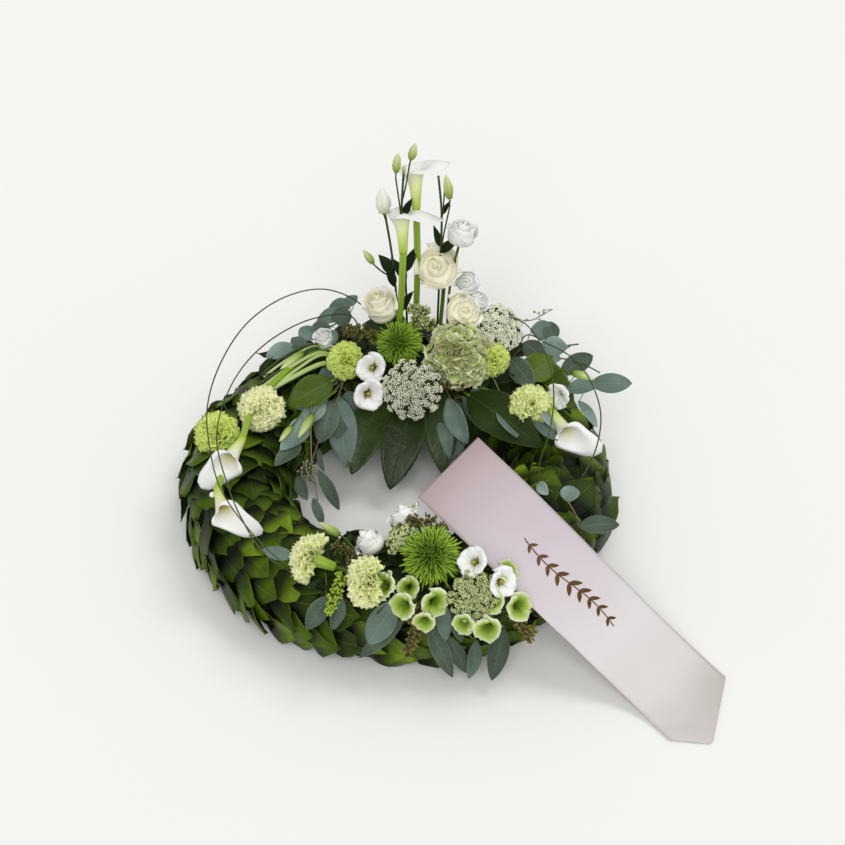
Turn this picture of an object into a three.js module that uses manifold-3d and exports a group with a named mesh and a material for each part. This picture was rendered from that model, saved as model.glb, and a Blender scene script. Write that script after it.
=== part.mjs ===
// Memorial wreath: a leaf-covered foam ring on a plastic tray, with two groups of flowers,
// eucalyptus, loops of steel grass and a satin ribbon that runs down to the surface.
// Millimetres, +Z up, everything placed from the middle of the ring on the resting surface:
// +X to the right and +Y to the back, where the tall group of flowers stands.

import * as THREE from 'three';
import { mergeVertices } from 'three/addons/utils/BufferGeometryUtils.js';
import Module from 'manifold-3d';

const wasm = await Module();
wasm.setup();

// ---- driving dimensions -------------------------------------------------------------------
const RING_RADIUS = 184;         // middle of the ring's section, from the middle of the hole
const RING_HALF_WIDTH = 64;      // leaf coat, across the section
const RING_HEIGHT = 104;         // top of the leaf coat
const SHOULDER = 50;             // height at which the section is widest
const COAT_FOOT = 4;             // the lowest leaves stop short of the resting surface
const COAT_FOOT_HALF = 50;
const COAT_FOOT_INNER = 45;
const COAT_INNER_HALF = 54;
const COAT_INNER_TOP = 92;
const COAT_RELIEF = 5;           // one leaf standing proud of the next
const TRAY_HALF_WIDTH = 42;
const TRAY_HEIGHT = 24;
const TRAY_WALL = 2;
const FOAM_TOP = 82;
const STEM_DEPTH = 64;           // height at which the cut ends sit in the foam
const RIBBON_WIDTH = 110;
const RIBBON_THICKNESS = 1;
const RIBBON_POINT = 39;         // the pointed end stands this far beyond its shoulders
const POINT_OFFSET = 0.4;        // the point lies this share of the half width off the middle
const RIBBON_HEADING = [0.78, -0.62, 0];   // the ribbon's ends are square to this
const RIBBON_BANK = 6;           // its back edge starts this much higher than its middle
const BLADE = 1.6;               // steel grass, across
const LEAF_THICKNESS = 1.6;
const PIN_LENGTH = 26;
const PEARL_RADIUS = 3.4;
const GAP = 0.35;                // clearance where a later piece makes room for an earlier one
const SAME_FACE = 0.98;          // faces closer in direction than this count as one
const SOFTENING = 0.02;          // keeps nearly parallel faces from throwing a corner far out
const SMALLEST_STEP = 0.12;      // corners left by cuts are merged below this size
const RING_STEPS = 24;
const WINDOW_HALF = 42;          // half the width of the strip left without leaves
const WINDOW_SHIFT = 6;
const WINDOW_DEPTH = 40;

const UP = new THREE.Vector3(0, 0, 1);
const VIEWER = new THREE.Vector3(0, -0.6, 0.8);   // most leaves and flowers turn this way

// ---- solids: joining, cutting and turning back into three.js meshes -----------------------
// A closed three.js geometry as a solid: shared corners merged, faces turned outwards
function solidOf(geometry) {
  const bare = geometry.clone();
  bare.deleteAttribute('normal');
  bare.deleteAttribute('uv');
  const merged = mergeVertices(bare, 1e-3);
  const at = merged.attributes.position;
  const index = merged.index.array;
  const corners = [];
  const [a, b, c] = [new THREE.Vector3(), new THREE.Vector3(), new THREE.Vector3()];
  let volume = 0;
  for (let i = 0; i < index.length; i += 3) {
    const [p, q, r] = [index[i], index[i + 1], index[i + 2]];
    if (p === q || q === r || r === p) continue;
    corners.push(p, q, r);
    a.fromBufferAttribute(at, p);
    b.fromBufferAttribute(at, q);
    c.fromBufferAttribute(at, r);
    volume += a.dot(b.cross(c));
  }
  if (volume < 0) {
    for (let i = 0; i < corners.length; i += 3) {
      [corners[i + 1], corners[i + 2]] = [corners[i + 2], corners[i + 1]];
    }
  }
  return new wasm.Manifold(new wasm.Mesh({
    numProp: 3,
    vertProperties: new Float32Array(at.array),
    triVerts: new Uint32Array(corners),
  }));
}

function geometryOf(solid) {
  const mesh = solid.getMesh();
  const geometry = new THREE.BufferGeometry();
  geometry.setAttribute('position', new THREE.BufferAttribute(new Float32Array(mesh.vertProperties), 3));
  geometry.setIndex(new THREE.BufferAttribute(new Uint32Array(mesh.triVerts), 1));
  geometry.computeVertexNormals();
  return geometry;
}

const join = (parts) => parts.reduce((whole, part) => whole.add(part));

// The different directions in which the faces at each corner of a geometry look
function normalsAtCorners(geometry) {
  const at = geometry.attributes.position;
  const index = geometry.index.array;
  const found = Array.from({ length: at.count }, () => []);
  const [a, b, c] = [0, 1, 2].map(() => new THREE.Vector3());
  for (let i = 0; i < index.length; i += 3) {
    [a, b, c].forEach((corner, k) => corner.fromBufferAttribute(at, index[i + k]));
    const normal = new THREE.Vector3().crossVectors(b.sub(a), c.sub(a)).normalize();
    for (let k = 0; k < 3; k += 1) {
      const known = found[index[i + k]];
      if (known.every((other) => other.dot(normal) < SAME_FACE)) known.push(normal);
    }
  }
  return found;
}

// The step that moves every face at a corner outwards by the clearance (least squares)
function cornerStep(normals) {
  const sum = new Array(9).fill(0);
  const total = new THREE.Vector3();
  for (const normal of normals) {
    const [x, y, z] = normal.toArray();
    [x * x, x * y, x * z, y * x, y * y, y * z, z * x, z * y, z * z].forEach((v, k) => { sum[k] += v; });
    total.add(normal);
  }
  [0, 4, 8].forEach((k) => { sum[k] += SOFTENING; });
  const step = total.applyMatrix3(new THREE.Matrix3(...sum).invert()).multiplyScalar(GAP);
  return step.clampLength(0, 4 * GAP);
}

// The same solid with its surface pushed out all over by the clearance
function swollen(solid) {
  const geometry = geometryOf(solid);
  const at = geometry.attributes.position;
  normalsAtCorners(geometry).forEach((normals, i) => {
    const step = cornerStep(normals);
    at.setXYZ(i, at.getX(i) + step.x, at.getY(i) + step.y, at.getZ(i) + step.z);
  });
  return solidOf(geometry);
}

function largestBody(solid) {
  const bodies = solid.decompose();
  return bodies.reduce((most, body) => (body.volume() > most.volume() ? body : most));
}

function boxesMeet(one, other) {
  const [a, b] = [one.boundingBox(), other.boundingBox()];
  return [0, 1, 2].every((k) => a.min[k] < b.max[k] && b.min[k] < a.max[k]);
}

// ---- placing ------------------------------------------------------------------------------
const vector = ([x, y, z]) => new THREE.Vector3(x, y, z);
const degrees = THREE.MathUtils.degToRad;

// Turns a piece so that its own Z follows the axis and its own X points to the side
function aim(geometry, base, axis, side) {
  const z = axis.clone().normalize();
  const x = side.clone().addScaledVector(z, -side.dot(z)).normalize();
  const y = new THREE.Vector3().crossVectors(z, x);
  const frame = new THREE.Matrix4().makeBasis(x, y, z).setPosition(base);
  return geometry.applyMatrix4(frame);
}

// The direction that leans from upright by one angle towards a compass angle
function leaning(lean, toward) {
  const [tilt, turn] = [degrees(lean), degrees(toward)];
  return new THREE.Vector3(
    Math.sin(tilt) * Math.cos(turn),
    Math.sin(tilt) * Math.sin(turn),
    Math.cos(tilt),
  );
}

function downhill(lean, toward) {
  return leaning(lean + 90, toward);
}

// Where a stem from above this spot ends in the foam
function rootBelow(spot) {
  const angle = Math.atan2(spot.y, spot.x);
  return new THREE.Vector3(RING_RADIUS * Math.cos(angle), RING_RADIUS * Math.sin(angle), STEM_DEPTH);
}

function warp(geometry, move) {
  const at = geometry.attributes.position;
  const point = new THREE.Vector3();
  for (let i = 0; i < at.count; i += 1) {
    point.fromBufferAttribute(at, i);
    move(point);
    at.setXYZ(i, point.x, point.y, point.z);
  }
  return geometry;
}

// ---- basic shapes -------------------------------------------------------------------------
// A turned shape that stands on its own Z axis, from pairs of radius and height
function turned(profile, sides) {
  const outline = profile.map(([radius, height]) => new THREE.Vector2(radius, height));
  return new THREE.LatheGeometry(outline, sides).rotateX(Math.PI / 2);
}

// Pushes every second corner of a turned shape in or out, for petals and tufts
function frill(geometry, lobes, share) {
  return warp(geometry, (point) => {
    const swell = 1 + share * Math.cos(lobes * Math.atan2(point.y, point.x));
    point.x *= swell;
    point.y *= swell;
  });
}

function stem(route, radius, steps, sides = 3) {
  const section = new THREE.Shape();
  for (let i = 0; i < sides; i += 1) {
    const turn = (2 * Math.PI * (i + 0.5)) / sides;
    const corner = [radius * Math.cos(turn), radius * Math.sin(turn)];
    if (i === 0) section.moveTo(...corner);
    else section.lineTo(...corner);
  }
  section.closePath();
  const path = new THREE.CatmullRomCurve3(route.map((p) => (p.isVector3 ? p : vector(p))));
  return solidOf(new THREE.ExtrudeGeometry(section, { extrudePath: path, steps }));
}

// A flat leaf along its own X, arched upwards, with round or pointed shoulders
function leafPlate(length, width, arch, fullness) {
  const half = width / 2;
  const outline = new THREE.Shape();
  outline.moveTo(0, 0);
  outline.bezierCurveTo(length * 0.1, half * fullness, length * 0.6, half * fullness, length, 0);
  outline.bezierCurveTo(length * 0.6, -half * fullness, length * 0.1, -half * fullness, 0, 0);
  const plate = new THREE.ExtrudeGeometry(outline, {
    depth: LEAF_THICKNESS,
    bevelEnabled: false,
    curveSegments: 3,
  });
  return warp(plate, (point) => {
    const along = point.x / length;
    point.z += arch * 4 * along * (1 - along) - LEAF_THICKNESS / 2;
  });
}

function leaf(base, tip, width, { arch = 4, face = VIEWER, fullness = 1.34 } = {}) {
  const along = new THREE.Vector3().subVectors(tip, base);
  const plate = leafPlate(along.length(), width, arch, fullness);
  const axis = face.clone().addScaledVector(along, -face.dot(along) / along.lengthSq());
  return solidOf(aim(plate, base, axis, along));
}

// ---- flowers ------------------------------------------------------------------------------
// Each head stands on its own Z axis with its base at the origin; height is where it ends

function roseHead(radius, height) {
  const cup = turned([
    [0, 0], [0.5 * radius, 0.03 * height], [0.92 * radius, 0.3 * height],
    [radius, 0.65 * height], [0.86 * radius, 0.95 * height], [0.62 * radius, 0.86 * height],
    [0.42 * radius, height], [0, 0.92 * height],
  ], 10);
  return frill(cup, 5, 0.05);
}

function carnationHead(radius, height) {
  const calyx = Math.min(0.4 * height, 18);
  const dome = turned([
    [0, 0], [4.5, 0.5], [6, calyx], [0.75 * radius, calyx + 2],
    [radius, calyx + 0.35 * (height - calyx)], [0.9 * radius, calyx + 0.72 * (height - calyx)],
    [0.5 * radius, height], [0, 0.95 * height],
  ], 10);
  return frill(dome, 5, 0.06);
}

function chrysanthemumHead(radius, height) {
  const globe = turned([
    [0, 0], [0.5 * radius, 0.06 * height], [0.95 * radius, 0.35 * height],
    [radius, 0.68 * height], [0.68 * radius, height], [0.25 * radius, 0.98 * height],
    [0, 0.85 * height],
  ], 12);
  return frill(globe, 6, 0.07);
}

function lisianthusHead(radius, height) {
  const cup = turned([
    [0, 0], [5, 0.03 * height], [0.55 * radius, 0.35 * height], [radius, 0.95 * height],
    [0.93 * radius, height], [0.45 * radius, 0.5 * height], [0, 0.4 * height],
  ], 10);
  return frill(cup, 5, 0.07);
}

function umbelHead(radius, height) {
  const dome = turned([
    [0, 0], [3, 0.5], [0.7 * radius, 0.4 * height], [radius, 0.6 * height],
    [0.88 * radius, 0.85 * height], [0.45 * radius, height], [0, height],
  ], 10);
  return frill(dome, 5, 0.05);
}

function budHead(radius, height) {
  return turned([
    [0, 0], [0.7 * radius, 0.08 * height], [radius, 0.35 * height],
    [0.6 * radius, 0.7 * height], [0, height],
  ], 6);
}

// One flower: its head, and a stem that bends down from it into the foam
function flower(head, { at, radius, height, lean = 40, toward = 270, thick = 3, root = null }) {
  const axis = leaning(lean, toward);
  const middle = vector(at);
  const base = middle.clone().addScaledVector(axis, -height / 2);
  const top = solidOf(aim(head(radius, height), base, axis, downhill(lean, toward)));
  const foot = root ? vector(root) : rootBelow(middle);
  const reach = base.distanceTo(foot);
  const route = [
    base.clone().addScaledVector(axis, 3),
    base.clone().addScaledVector(axis, -0.3 * reach),
    foot,
  ];
  return top.add(stem(route, thick, 3));
}

// A calla: a tube that opens into one spathe, drawn as profiles (radius and height) on the side
// of its tip, on its flanks and at its seam
const SPATHE_TIP = [[4.2, 0], [6.2, 20], [8.5, 36], [13, 48], [22, 57], [34, 60]];
const SPATHE_FLANK = [[4.2, 0], [6, 20], [8.2, 35], [12, 44], [20, 49], [28, 50]];
const SPATHE_SEAM = [[4.2, 0], [5.6, 20], [7.4, 33], [9, 38], [10.5, 41], [12, 43]];
const SPATHE_WALL = 1.8;
const SPATHE_SIDES = 10;

// A profile's point and the step from it to the inner side of the wall
function spathePoint(profile, row) {
  const last = profile.length - 1;
  const [before, after] = [profile[Math.max(0, row - 1)], profile[Math.min(last, row + 1)]];
  const [out, up] = [after[0] - before[0], after[1] - before[1]];
  const scale = SPATHE_WALL / Math.hypot(out, up);
  return [...profile[row], -up * scale, out * scale];
}

// The skin's levels go up the outside from the base, over the rim and down to the throat
function callaHead() {
  const rows = SPATHE_TIP.length;
  const levels = 2 * rows - 1;
  const outline = Array.from({ length: levels + 1 }, (_, i) => [i === 0 || i === levels ? 0 : 1, i]);
  const skin = turned(outline, SPATHE_SIDES);
  warp(skin, (point) => {
    const level = Math.round(point.z);
    if (level === 0) return;
    if (level === levels) {
      point.set(0, 0, SPATHE_SEAM[1][1] - 4);
      return;
    }
    const turn = Math.atan2(point.y, point.x);
    const inside = level > rows;
    const row = inside ? levels - level : level - 1;
    const near = Math.cos(turn);
    const [middle, other] = [SPATHE_FLANK, near > 0 ? SPATHE_TIP : SPATHE_SEAM]
      .map((profile) => spathePoint(profile, row));
    const [radius, height, stepOut, stepUp] = middle.map((v, k) => v + (other[k] - v) * near * near);
    const reach = radius + (inside ? stepOut : 0);
    point.set(reach * Math.cos(turn), reach * Math.sin(turn), height + (inside ? stepUp : 0));
  });
  const spadix = new THREE.CylinderGeometry(1.2, 2, 24, 5).rotateX(Math.PI / 2);
  spadix.translate(0, 0, 30);
  return [skin, spadix];
}

function calla({ base, axis, tip, route }) {
  const [way, side, start] = [vector(axis), vector(tip), vector(base)];
  const parts = callaHead().map((piece) => solidOf(aim(piece, start, way, side)));
  const neck = start.clone().addScaledVector(way.clone().normalize(), 3);
  parts.push(stem([neck, ...route.map(vector)], 4, 2 * route.length + 1, 5));
  return join(parts);
}

// Buds on thin stems that fork from one cut stem
function budSpray({ trunk, forks }) {
  const parts = [stem(trunk, 1.6, 5)];
  for (const { from, at, radius, height, lean, toward } of forks) {
    const axis = leaning(lean, toward);
    const base = vector(at);
    const end = base.clone().addScaledVector(axis, 2);
    parts.push(stem([vector(from), end], 1.2, 2));
    parts.push(solidOf(aim(budHead(radius, height), base, axis, downhill(lean, toward))));
  }
  return join(parts);
}

// Open bells on one branching stem, each given by its middle and where it looks
function bellCluster({ radius, height, bells }) {
  const bases = bells.map(([x, y, z, lean, toward]) => (
    vector([x, y, z]).addScaledVector(leaning(lean, toward), -height / 2)
  ));
  const foot = rootBelow(bases[0]);
  const fork = bases[0].clone().lerp(foot, 0.55);
  const parts = bells.map(([, , , lean, toward], i) => {
    const [axis, base] = [leaning(lean, toward), bases[i]];
    const cup = solidOf(aim(lisianthusHead(radius, height), base, axis, downhill(lean, toward)));
    return cup.add(stem([base.clone().addScaledVector(axis, 2), fork], 2, 1));
  });
  return join([...parts, stem([fork.clone().lerp(bases[0], 0.1), foot], 2.6, 1)]);
}

// ---- greenery -----------------------------------------------------------------------------
// A eucalyptus branch: a stem with leaves in turn to its left and right, and one at its end
function eucalyptus({ route, leaves, length = 46, width = 20, spread = 50, face = VIEWER }) {
  const path = new THREE.CatmullRomCurve3(route.map(vector));
  const parts = [stem(route, 1.3, route.length + 1)];
  const firstLeaf = 0.38;
  for (let i = 0; i < leaves; i += 1) {
    const share = firstLeaf + ((1 - firstLeaf) * i) / (leaves - 1);
    const base = path.getPointAt(share);
    const along = path.getTangentAt(share);
    const sideways = new THREE.Vector3().crossVectors(face, along).normalize();
    const last = i === leaves - 1;
    const turn = last ? 0 : degrees(spread) * (i % 2 ? 1 : -1);
    const way = along.clone().multiplyScalar(Math.cos(turn)).addScaledVector(sideways, Math.sin(turn));
    const tip = base.clone().addScaledVector(way, length);
    parts.push(leaf(base.addScaledVector(way, -1), tip, width, { face }));
  }
  return join(parts);
}

function seedCluster({ route, grains, size }) {
  const path = new THREE.CatmullRomCurve3(route.map(vector));
  const parts = [stem(route, 1.4, 3)];
  for (let i = 0; i < grains; i += 1) {
    const share = 0.45 + (0.55 * i) / (grains - 1);
    const turn = 2.4 * i;
    const spot = path.getPointAt(share);
    spot.x += 0.7 * size * Math.cos(turn);
    spot.y += 0.7 * size * Math.sin(turn);
    const grain = new THREE.OctahedronGeometry(size).translate(spot.x, spot.y, spot.z);
    parts.push(solidOf(grain));
  }
  return join(parts);
}

function grassLoop(route, steps) {
  return stem(route, BLADE / 2, steps);
}

// ---- ring ---------------------------------------------------------------------------------
// A closed ring from a section drawn from the middle of the ring's own section
function ringOf(section) {
  const outline = section.map(([out, height]) => new THREE.Vector2(RING_RADIUS + out, height));
  outline.push(outline[0].clone());
  return solidOf(new THREE.LatheGeometry(outline, RING_STEPS).rotateX(Math.PI / 2));
}

function tray() {
  const [half, wall, top] = [TRAY_HALF_WIDTH, TRAY_WALL, TRAY_HEIGHT];
  const foot = half - 3;
  return ringOf([
    [-foot, 0], [foot, 0], [half, top], [half - wall, top],
    [foot - wall, wall], [wall - foot, wall], [wall - half, top], [-half, top],
  ]);
}

function foam() {
  const low = TRAY_WALL + GAP;
  const inner = TRAY_HALF_WIDTH - TRAY_WALL - 4;
  return ringOf([
    [-inner, low], [inner, low], [inner + 5, SHOULDER], [16, FOAM_TOP], [-16, FOAM_TOP],
    [-inner - 5, SHOULDER],
  ]);
}

// The coat's section, from its inner foot over the crest to its outer foot. Share runs from
// 0 to 1 along it; thick is 0 on the inside of the coat and 1 on its outside.
function coatPoint(share, thick) {
  const wide = COAT_INNER_HALF + (RING_HALF_WIDTH - COAT_INNER_HALF) * thick;
  const high = COAT_INNER_TOP + (RING_HEIGHT - COAT_INNER_TOP) * thick;
  const foot = COAT_FOOT_INNER + (COAT_FOOT_HALF - COAT_FOOT_INNER) * thick;
  const skirt = 0.22;
  if (share < skirt || share > 1 - skirt) {
    const drop = share < skirt ? 1 - share / skirt : (share - 1 + skirt) / skirt;
    const out = foot + (wide - foot) * Math.sqrt(1 - drop * drop);
    const height = SHOULDER + (COAT_FOOT - SHOULDER) * drop;
    return [share < skirt ? -out : out, height];
  }
  const turn = Math.PI * (1 - (share - skirt) / (1 - 2 * skirt));
  return [wide * Math.cos(turn), SHOULDER + (high - SHOULDER) * Math.sin(turn)];
}

// One stretch of the leaf coat, with the leaves' relief stepped alternately along and across
function coatStretch(fromAngle, sweepAngle, along, across) {
  const block = new THREE.BoxGeometry(1, 1, 1, across, along, 1);
  const gapAngle = (0.5 * GAP) / (RING_RADIUS - RING_HALF_WIDTH);
  const [start, sweep] = [degrees(fromAngle) + gapAngle, degrees(sweepAngle) - 2 * gapAngle];
  return solidOf(warp(block, (point) => {
    const [share, way, thick] = [point.x + 0.5, point.y + 0.5, point.z + 0.5];
    const [column, row] = [Math.round(share * across), Math.round(way * along)];
    const edge = column === 0 || column === across;
    const proud = !edge && thick > 0.5 && (column + row) % 2 ? 1 : 0;
    const [out, height] = coatPoint(share, thick);
    const push = 1 + (proud * COAT_RELIEF) / RING_HALF_WIDTH;
    const radius = RING_RADIUS + out * push;
    const turn = start + sweep * way;
    point.set(radius * Math.cos(turn), radius * Math.sin(turn), SHOULDER + (height - SHOULDER) * push);
  }));
}

// The open strip along the crest where the flowers' stems go straight into the foam
function plantingWindow(fromAngle, toAngle) {
  const block = new THREE.BoxGeometry(2 * WINDOW_HALF, 1, 2 * WINDOW_DEPTH, 1, 6, 1);
  return solidOf(warp(block, (point) => {
    const turn = degrees(fromAngle + (toAngle - fromAngle) * (point.y + 0.5));
    const radius = RING_RADIUS + WINDOW_SHIFT + point.x;
    point.set(radius * Math.cos(turn), radius * Math.sin(turn), RING_HEIGHT + point.z);
  }));
}

// ---- ribbon -------------------------------------------------------------------------------
// The middle line of the ribbon, from its end tucked over the hole, across the ring's crest
// and down to the resting surface, where its last stretch lies flat
const RIBBON_ROUTE = [
  [59, -44, 117], [86, -88, 122], [113, -127, 123], [139, -158, 117],
  [166, -183, 105], [192, -201, 87], [220, -216, 65], [247, -231, 42],
  [274, -246, 20], [295, -263, 8], [310, -280, 3.8], [325, -299, 3],
];

function ribbon() {
  const [across, along] = [4, 22];
  const path = new THREE.CatmullRomCurve3(RIBBON_ROUTE.map(vector));
  const strip = new THREE.BoxGeometry(RIBBON_WIDTH, 1, RIBBON_THICKNESS, across, along, 1);
  const sideways = new THREE.Vector3().crossVectors(vector(RIBBON_HEADING), UP).normalize();
  return solidOf(warp(strip, (point) => {
    const share = point.y + 0.5;
    const middle = path.getPointAt(share);
    const forward = path.getTangentAt(share);
    const normal = new THREE.Vector3().crossVectors(sideways, forward).normalize();
    const reach = Math.max(0, (share - 0.8) / 0.2);
    const place = point.x / (RIBBON_WIDTH / 2);
    const slant = Math.min((1 + place) / (1 + POINT_OFFSET), (1 - place) / (1 - POINT_OFFSET));
    const flat = Math.min(1, share / 0.5);
    const [side, lift] = [point.x, point.z - RIBBON_BANK * (1 - flat * flat * (3 - 2 * flat)) * place];
    point.copy(middle).addScaledVector(sideways, side).addScaledVector(normal, lift);
    point.addScaledVector(forward, RIBBON_POINT * reach * slant);
  }));
}

// A florist's pin: a pearl head on a thin shaft that goes through the leaves into the foam
function pin(at) {
  const spot = vector(at);
  const inwards = new THREE.Vector3().subVectors(rootBelow(spot), spot).normalize();
  const shaft = stem([spot, spot.clone().addScaledVector(inwards, PIN_LENGTH)], 0.8, 1);
  const pearl = new THREE.IcosahedronGeometry(PEARL_RADIUS, 0).translate(spot.x, spot.y, spot.z);
  return solidOf(pearl).add(shaft);
}

// ---- placements: the middle of each head, its size, and where it looks --------------------
const LONG_PIECES = {
  satin_ribbon: () => ribbon(),
  calla_tall: () => calla({
    base: [23, 188, 304], axis: [-0.04, 0.4, 0.92], tip: [1, 0.3, 0],
    route: [[24, 194, 220], [22, 196, 130], [21, 196, STEM_DEPTH]],
  }),
  calla_short: () => calla({
    base: [8, 158, 264], axis: [-0.05, 0.4, 0.92], tip: [1, 0, -0.2],
    route: [[5, 160, 200], [0, 164, 120], [-2, 174, STEM_DEPTH]],
  }),
  calla_left_upper: () => calla({
    base: [-174, -8, 128], axis: [-0.3, -0.95, 0.08], tip: [-0.65, 0.1, -0.8],
    route: [[-166, 45, 124], [-130, 112, 126], [-88, 156, 118], [-62, 173, STEM_DEPTH]],
  }),
  calla_left_lower: () => calla({
    base: [-198, -82, 120], axis: [0.24, -0.96, 0.06], tip: [0.8, 0, -0.55],
    route: [[-196, -52, 112], [-188, 0, 100], [-178, 44, STEM_DEPTH]],
  }),
  calla_right: () => calla({
    base: [180, 44, 122], axis: [0.32, -0.94, 0.06], tip: [0.8, 0, -0.5],
    route: [[172, 66, 121], [160, 90, 104], [153, 104, STEM_DEPTH]],
  }),
  bud_spray_tall: () => budSpray({
    trunk: [[12, 190, STEM_DEPTH], [10, 192, 200], [6, 186, 300], [9, 182, 366]],
    forks: [
      { from: [6, 187, 290], at: [0, 181, 362], radius: 5, height: 26, lean: 6, toward: 0 },
      { from: [7, 185, 320], at: [17, 180, 380], radius: 5, height: 22, lean: 14, toward: 0 },
      { from: [9, 182, 350], at: [9, 181, 360], radius: 2.4, height: 12, lean: 0, toward: 0 },
    ],
  }),
  bud_spray_left: () => budSpray({
    trunk: [[2, 190, STEM_DEPTH], [0, 191, 150], [-5, 190, 230], [-13, 186, 300]],
    forks: [
      { from: [-12, 186, 292], at: [-14, 185, 302], radius: 9, height: 36, lean: 4, toward: 180 },
      { from: [-4, 189, 205], at: [-28, 182, 232], radius: 4.5, height: 22, lean: 30, toward: 180 },
    ],
  }),
  bud_spray_right: () => budSpray({
    trunk: [[46, 196, STEM_DEPTH], [50, 194, 200], [52, 186, 300], [48, 181, 356]],
    forks: [
      { from: [51, 193, 240], at: [61, 181, 325], radius: 5.5, height: 34, lean: 8, toward: 180 },
      { from: [52, 187, 290], at: [56, 181, 340], radius: 1.8, height: 14, lean: 10, toward: 0 },
    ],
  }),
  grass_loop_left_outer: () => grassLoop([
    [-30, 184, 70], [-36, 192, 150], [-80, 172, 200], [-125, 136, 220], [-168, 80, 226],
    [-196, 10, 220], [-206, -45, 206], [-201, -90, 190], [-188, -132, 170], [-158, -172, 150],
    [-118, -206, 130], [-84, -196, 100], [-70, -176, 66],
  ], 24),
  grass_loop_left_inner: () => grassLoop([
    [-44, 182, 70], [-52, 180, 150], [-95, 138, 185], [-140, 84, 200], [-172, 24, 206],
    [-190, -34, 201], [-194, -80, 190], [-182, -122, 170], [-164, -160, 150],
    [-138, -192, 128], [-112, -190, 100], [-96, -162, 66],
  ], 22),
  grass_loop_right_inner: () => grassLoop([
    [104, 154, 66], [118, 186, 140], [145, 136, 182], [165, 70, 202], [175, 20, 200],
    [176, -16, 185], [170, -40, 160], [161, -52, 130], [160, -70, 66],
  ], 18),
  grass_loop_right_outer: () => grassLoop([
    [138, 122, 66], [150, 158, 138], [176, 106, 172], [205, 58, 187], [221, 18, 186],
    [229, -20, 174], [224, -46, 150], [210, -62, 122], [182, -64, 66],
  ], 18),
};

const FLOWERS = {
  rose_top: [roseHead, { at: [47, 185, 222], radius: 29, height: 44, lean: 38, toward: 262 }],
  rose_left: [roseHead, { at: [-20, 162, 185], radius: 22, height: 44, lean: 28, toward: 240 }],
  rose_right: [roseHead, { at: [78, 162, 175], radius: 24, height: 38, lean: 42, toward: 290 }],
  lisianthus_tall: [lisianthusHead, {
    at: [76, 190, 271], radius: 19, height: 36, lean: 12, toward: 350, thick: 1.6,
    root: [58, 192, STEM_DEPTH],
  }],
  lisianthus_back_right: [lisianthusHead, {
    at: [83, 184, 202], radius: 18, height: 32, lean: 50, toward: 270,
  }],
  lisianthus_far_left: [lisianthusHead, {
    at: [-89, 168, 130], radius: 12, height: 26, lean: 40, toward: 200,
  }],
  carnation_top_left: [carnationHead, {
    at: [-63, 121, 134], radius: 23, height: 36, lean: 46, toward: 232,
  }],
  carnation_top_right: [carnationHead, {
    at: [114, 121, 136], radius: 20, height: 36, lean: 45, toward: 300,
  }],
  chrysanthemum_top: [chrysanthemumHead, {
    at: [2, 132, 152], radius: 31, height: 42, lean: 42, toward: 262,
  }],
  hydrangea_top: [umbelHead, { at: [71, 120, 142], radius: 38, height: 44, lean: 46, toward: 276 }],
  trachelium_middle: [umbelHead, {
    at: [18, 79, 124], radius: 36, height: 38, lean: 50, toward: 266,
  }],
  trachelium_right: [umbelHead, {
    at: [120, 162, 148], radius: 31, height: 36, lean: 34, toward: 300,
  }],
  carnation_left_upper: [carnationHead, {
    at: [-157, 46, 124], radius: 27, height: 34, lean: 30, toward: 250,
  }],
  carnation_left_lower: [carnationHead, {
    at: [-208, 20, 110], radius: 27, height: 34, lean: 34, toward: 226,
  }],
  carnation_right: [carnationHead, {
    at: [156, 55, 122], radius: 26, height: 34, lean: 32, toward: 265,
  }],
  lisianthus_right: [lisianthusHead, { at: [193, 75, 122], radius: 16, height: 28, lean: 55, toward: 235 }],
  carnation_front_left: [carnationHead, {
    at: [-86, -190, 118], radius: 27, height: 50, lean: 78, toward: 168,
  }],
  carnation_front_middle: [carnationHead, {
    at: [-28, -222, 118], radius: 26, height: 40, lean: 62, toward: 205,
  }],
  chrysanthemum_front: [chrysanthemumHead, {
    at: [40, -205, 140], radius: 31, height: 44, lean: 36, toward: 268,
  }],
  sedum_left: [umbelHead, { at: [9, -170, 126], radius: 20, height: 28, lean: 30, toward: 200 }],
  sedum_right: [umbelHead, { at: [84, -238, 112], radius: 29, height: 32, lean: 52, toward: 272 }],
};

const CLUSTERS = {
  lisianthus_left_pair: () => bellCluster({
    radius: 20, height: 28, bells: [[-28, 107, 135, 52, 256], [-34, 80, 119, 60, 282]],
  }),
  lisianthus_front_pair: () => bellCluster({
    radius: 18, height: 26, bells: [[86, -212, 137, 46, 235], [112, -226, 123, 56, 300]],
  }),
  lisianthus_hole_pair: () => bellCluster({
    radius: 19, height: 30, bells: [[10, -131, 122, 40, 110], [-27, -163, 118, 48, 150]],
  }),
  green_bells_left: () => bellCluster({
    radius: 15, height: 24,
    bells: [[-5, -222, 112, 50, 230], [15, -240, 104, 66, 262], [41, -237, 106, 60, 268]],
  }),
  green_bells_right: () => bellCluster({
    radius: 15, height: 24, bells: [[100, -260, 93, 76, 270], [128, -240, 101, 64, 290]],
  }),
  seed_cluster_front: () => seedCluster({
    route: [[14, -190, STEM_DEPTH], [20, -234, 88], [22, -256, 76], [12, -266, 52]], grains: 6, size: 6,
  }),
  seed_cluster_right: () => seedCluster({
    route: [[110, -170, STEM_DEPTH], [120, -226, 90], [132, -248, 86], [144, -256, 70]],
    grains: 6, size: 6,
  }),
};

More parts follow.
